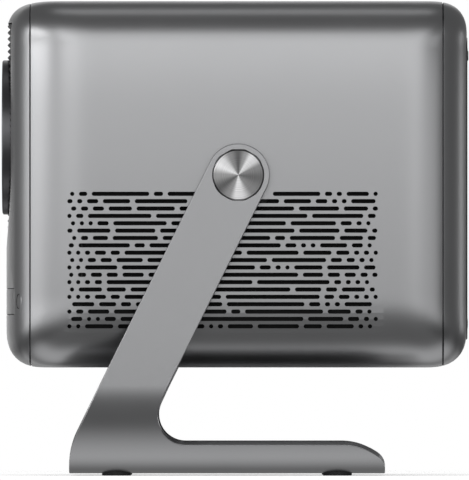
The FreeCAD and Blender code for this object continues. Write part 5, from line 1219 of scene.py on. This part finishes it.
# ---------------------------------------------------------------- disc traverse
# A pressed plate with the spindle motor and two polished rods; the die-cast pickup sled
# runs on them, moved by a fine screw. The turntable has a rubber ring under the disc.
dress(finish("zinc_plated_sheet", (0.5, 0.51, 0.52), 0.38, metallic=1.0, grain=0.003,
             grain_depth=0.000004, drift=0.12), "traverse_frame")
dress(finish("polished_rod_steel", (0.7, 0.7, 0.7), 0.12, metallic=1.0), "guide_rods", "lead_screw")
dress(finish("die_cast_sled", (0.3, 0.3, 0.31), 0.42, metallic=0.9, grain=0.0007, grain_depth=0.00003),
      "laser_sled")
dress(TRAY_BLACK, "turntable")

# ---------------------------------------------------------------- lamp, cooling and sound
# Copper spreads the lamp's heat into an extruded aluminium sink. Two fans and two small
# speakers sit behind the vents, each behind a fine black dust mesh.


def mesh_cloth(name, pitch):
    """Fine black mesh: dark threads over darker holes, woven on Y and Z."""
    material = finish(name, (0.003, 0.003, 0.003), 0.8, grain=0.0005, Specular_IOR_Level=0.15)
    tree = material.node_tree
    parts = add_node(tree, "ShaderNodeSeparateXYZ", {0: object_place(tree)}).outputs
    waves = [worked_out(tree, "SINE", worked_out(tree, "MULTIPLY", parts[axis], math.pi / (pitch * MM)))
             for axis in ("Y", "Z")]
    depth = worked_out(tree, "ABSOLUTE", worked_out(tree, "MULTIPLY", *waves))
    bump = add_node(tree, "ShaderNodeBump", {"Height": depth, "Distance": 0.15 * MM}, invert=True)
    fill_inputs(tree, tree.nodes["Principled BSDF"], {"Normal": bump.outputs["Normal"]})
    return material


dress(finish("copper_plate", (0.78, 0.42, 0.28), 0.34, metallic=1.0, drift=0.15), "light_source")
dress(finish("extruded_aluminium", (0.66, 0.66, 0.67), 0.34, metallic=1.0), "heatsink")
dress(finish("fan_black_plastic", (0.016, 0.016, 0.017), 0.45),
      "fan_frames", "left_fan", "right_fan", "speaker_frames")
dress(finish("speaker_cone_paper", (0.03, 0.029, 0.028), 0.85, grain=0.0008, grain_depth=0.00006),
      "speaker_cones")
dress(finish("ferrite_magnet", (0.06, 0.06, 0.062), 0.55), "speaker_magnets")
dress(mesh_cloth("black_dust_mesh", 0.8), "dust_filters")

# ---------------------------------------------------------------- circuit boards
# Green glass-fibre boards with tinned tracks under the lacquer, held by small screws. The
# main board carries the sockets that show at the rear.


def board_finish(name, pitch):
    """Green lacquer over copper tracks that run in short straight lengths."""
    material = finish(name, (0.012, 0.09, 0.045), 0.32, Specular_IOR_Level=0.6)
    tree = material.node_tree
    tracks = add_node(tree, "ShaderNodeTexBrick", {
        "Vector": object_place(tree), "Color1": (0.012, 0.09, 0.045, 1), "Color2": (0.014, 0.11, 0.052, 1),
        "Mortar": (0.03, 0.19, 0.08, 1), "Scale": 1.0, "Mortar Size": 0.12 * pitch * MM,
        "Brick Width": 9 * pitch * MM, "Row Height": pitch * MM})
    fill_inputs(tree, tree.nodes["Principled BSDF"], {"Base Color": tracks.outputs["Color"]})
    return material


dress(board_finish("green_circuit_board", 1.6), "main_board", "power_supply", "lamp_driver")

# ---------------------------------------------------------------- floor and light
# A pale studio floor that fades out to white, and soft lamps round the object.
# Mirrored rays see it glow close beside the stand, with painted shadow under the plate and under the
# middle, and dimmer further out.
FLOOR_RADIUS, FLOOR_SINK, FLOOR_FADE, FLOOR_SPREAD, FLOOR_HAZE = 700.0, 0.02, (0.22, 0.62), 0.2, 0.5
GLOW_END, PLATE_SHADOW_SIDE, PLATE_SHADOW_END, PLATE_SHADOW_SHARE = (0.15, 0.23), (0.072, 0.088), (0.084, 0.094), 0.32


def studio_floor():
    """A matt white floor that is clear far out, with its own light for the camera and for mirrored views."""
    material = bpy.data.materials.new("pale_studio_floor")
    material.use_nodes = True
    tree = material.node_tree
    tree.nodes.clear()
    place = object_place(tree)
    rays = add_node(tree, "ShaderNodeLightPath").outputs
    parts = add_node(tree, "ShaderNodeSeparateXYZ", {0: place}).outputs
    beside = worked_out(tree, "ABSOLUTE", parts["X"])
    along = worked_out(tree, "ABSOLUTE", parts["Y"])
    # The glow's colour: painted shade under the middle and far out, a bright band of painted light between.
    glow_and_shadow_colour = eased_greys(tree, worked_out(tree, "MULTIPLY", beside, 1 / FLOOR_SPREAD),
                              ((0.05, 0.22), (0.64, 0.2)), ((0.28, 0.85), (0.42, 0.88)))
    end_fade = ranged(tree, along, *GLOW_END, 1.0, 0.2, "SMOOTHSTEP")
    # Painted shadow under the stand's plate.
    under = ranged(tree, beside, *PLATE_SHADOW_SIDE, PLATE_SHADOW_SHARE, 1.0, "SMOOTHSTEP")
    past_end = ranged(tree, along, *PLATE_SHADOW_END, 0.0, 1.0, "SMOOTHSTEP")
    strength = worked_out(tree, "MULTIPLY", end_fade, worked_out(tree, "MAXIMUM", under, past_end))
    glow = add_node(tree, "ShaderNodeEmission", {"Color": glow_and_shadow_colour, "Strength": strength})
    matt = add_node(tree, "ShaderNodeBsdfDiffuse", {"Color": (0.8, 0.8, 0.8, 1)})
    lit = add_node(tree, "ShaderNodeMixShader", {
        "Fac": rays["Is Glossy Ray"], 1: matt.outputs["BSDF"], 2: glow.outputs["Emission"]})
    haze = add_node(tree, "ShaderNodeEmission", {
        "Strength": worked_out(tree, "MULTIPLY", rays["Is Camera Ray"], FLOOR_HAZE)})
    pale = add_node(tree, "ShaderNodeAddShader", {0: lit.outputs["Shader"], 1: haze.outputs["Emission"]})
    far = add_node(tree, "ShaderNodeVectorMath", {0: place}, operation="LENGTH").outputs["Value"]
    clear = add_node(tree, "ShaderNodeBsdfTransparent")
    mix = add_node(tree, "ShaderNodeMixShader", {
        "Fac": ranged(tree, far, *FLOOR_FADE, 0.0, 1.0, "SMOOTHSTEP"),
        1: pale.outputs["Shader"], 2: clear.outputs["BSDF"]})
    add_node(tree, "ShaderNodeOutputMaterial", {"Surface": mix.outputs["Shader"]})
    return material


floor = plain_mesh("studio_floor", [(x, y, -FLOOR_SINK) for x, y in disc(FLOOR_RADIUS, 0, 0, 128)],
                   [tuple(range(128))], studio_floor())
LAMP_AIM_Z = 130.0


def soft_lamp(name, azimuth, elevation, distance, size, radiance):
    """A rectangular soft lamp of even radiance, placed by its direction from the object's middle."""
    data = bpy.data.lights.new(name, "AREA")
    data.shape = "RECTANGLE"
    data.size, data.size_y = size
    data.energy = radiance * math.pi * size[0] * size[1]
    lamp = linked(name, data)
    turn, lift = math.radians(azimuth), math.radians(elevation)
    way = Vector((math.cos(lift) * math.cos(turn), math.cos(lift) * math.sin(turn), math.sin(lift)))
    aimed(lamp, Vector((0, 0, LAMP_AIM_Z)) * MM + way * distance, -way)
    lamp.visible_camera = False
    return lamp


soft_lamp("broad_side", 0, 1, 1.5, (1.5, 0.75), 0.75)
soft_lamp("upper_side", -4, 22, 1.4, (2.4, 0.65), 1.3)
soft_lamp("front_quarter", -47, 6, 1.5, (1.2, 0.85), 1.0)
soft_lamp("front_panel", -93, 0, 1.5, (1.25, 0.5), 1.35)
soft_lamp("front_upper", -86, 13, 1.5, (1.1, 0.24), 3.8)
soft_lamp("rear_quarter", 43, 1, 1.5, (1.1, 0.66), 0.88)
soft_lamp("rear_strip", 127, 0, 1.5, (0.3, 0.42), 1.15)
soft_lamp("overhead", 180, 84, 1.4, (1.2, 0.45), 0.58)
soft_lamp("far_side", 180, 0, 1.6, (1.05, 0.35), 0.95)
soft_lamp("floor_wash", 0, 89, 1.8, (2.2, 2.2), 0.55).visible_glossy = False

# The camera sees plain white. Mirrored and refracted rays see a bright backdrop on the far
# side and a dim room elsewhere, and other rays get a faint even light.
BACKDROP_WAY, BACKDROP_EDGE, BACKDROP_STRETCH = (-0.99, 0.0, 0.14), (0.88, 0.97), (1.0, 2.2, 1.0)
ROOM_LIGHT, AMBIENT_LIGHT = 0.17, 0.35


def white_studio():
    """The world's light, by the kind of ray and its direction."""
    world = bpy.data.worlds.new("white_studio")
    world.use_nodes = True
    tree = world.node_tree
    tree.nodes.clear()
    rays = add_node(tree, "ShaderNodeLightPath").outputs
    where = add_node(tree, "ShaderNodeTexCoord").outputs["Generated"]
    narrow = add_node(tree, "ShaderNodeVectorMath", {0: where, 1: BACKDROP_STRETCH}, operation="MULTIPLY")
    level = add_node(tree, "ShaderNodeVectorMath", {0: narrow.outputs["Vector"]}, operation="NORMALIZE")
    toward = add_node(tree, "ShaderNodeVectorMath", {0: level.outputs["Vector"], 1: BACKDROP_WAY},
                      operation="DOT_PRODUCT").outputs["Value"]
    backdrop = ranged(tree, toward, *BACKDROP_EDGE, ROOM_LIGHT, 1.0, "SMOOTHSTEP")
    seen = worked_out(tree, "MAXIMUM", rays["Is Glossy Ray"], rays["Is Transmission Ray"])
    ambient = add_node(tree, "ShaderNodeMix", {0: seen, 2: AMBIENT_LIGHT, 3: backdrop}, data_type="FLOAT")
    around, plain_white = (
        add_node(tree, "ShaderNodeBackground", {"Color": (1, 1, 1, 1), "Strength": strength}).outputs[0]
        for strength in (ambient.outputs[0], 1.0))
    mix = add_node(tree, "ShaderNodeMixShader", {"Fac": rays["Is Camera Ray"], 1: around, 2: plain_white})
    add_node(tree, "ShaderNodeOutputWorld", {"Surface": mix.outputs["Shader"]})
    return world


bpy.context.scene.world = white_studio()

bpy.context.scene.view_settings.view_transform = "Standard"
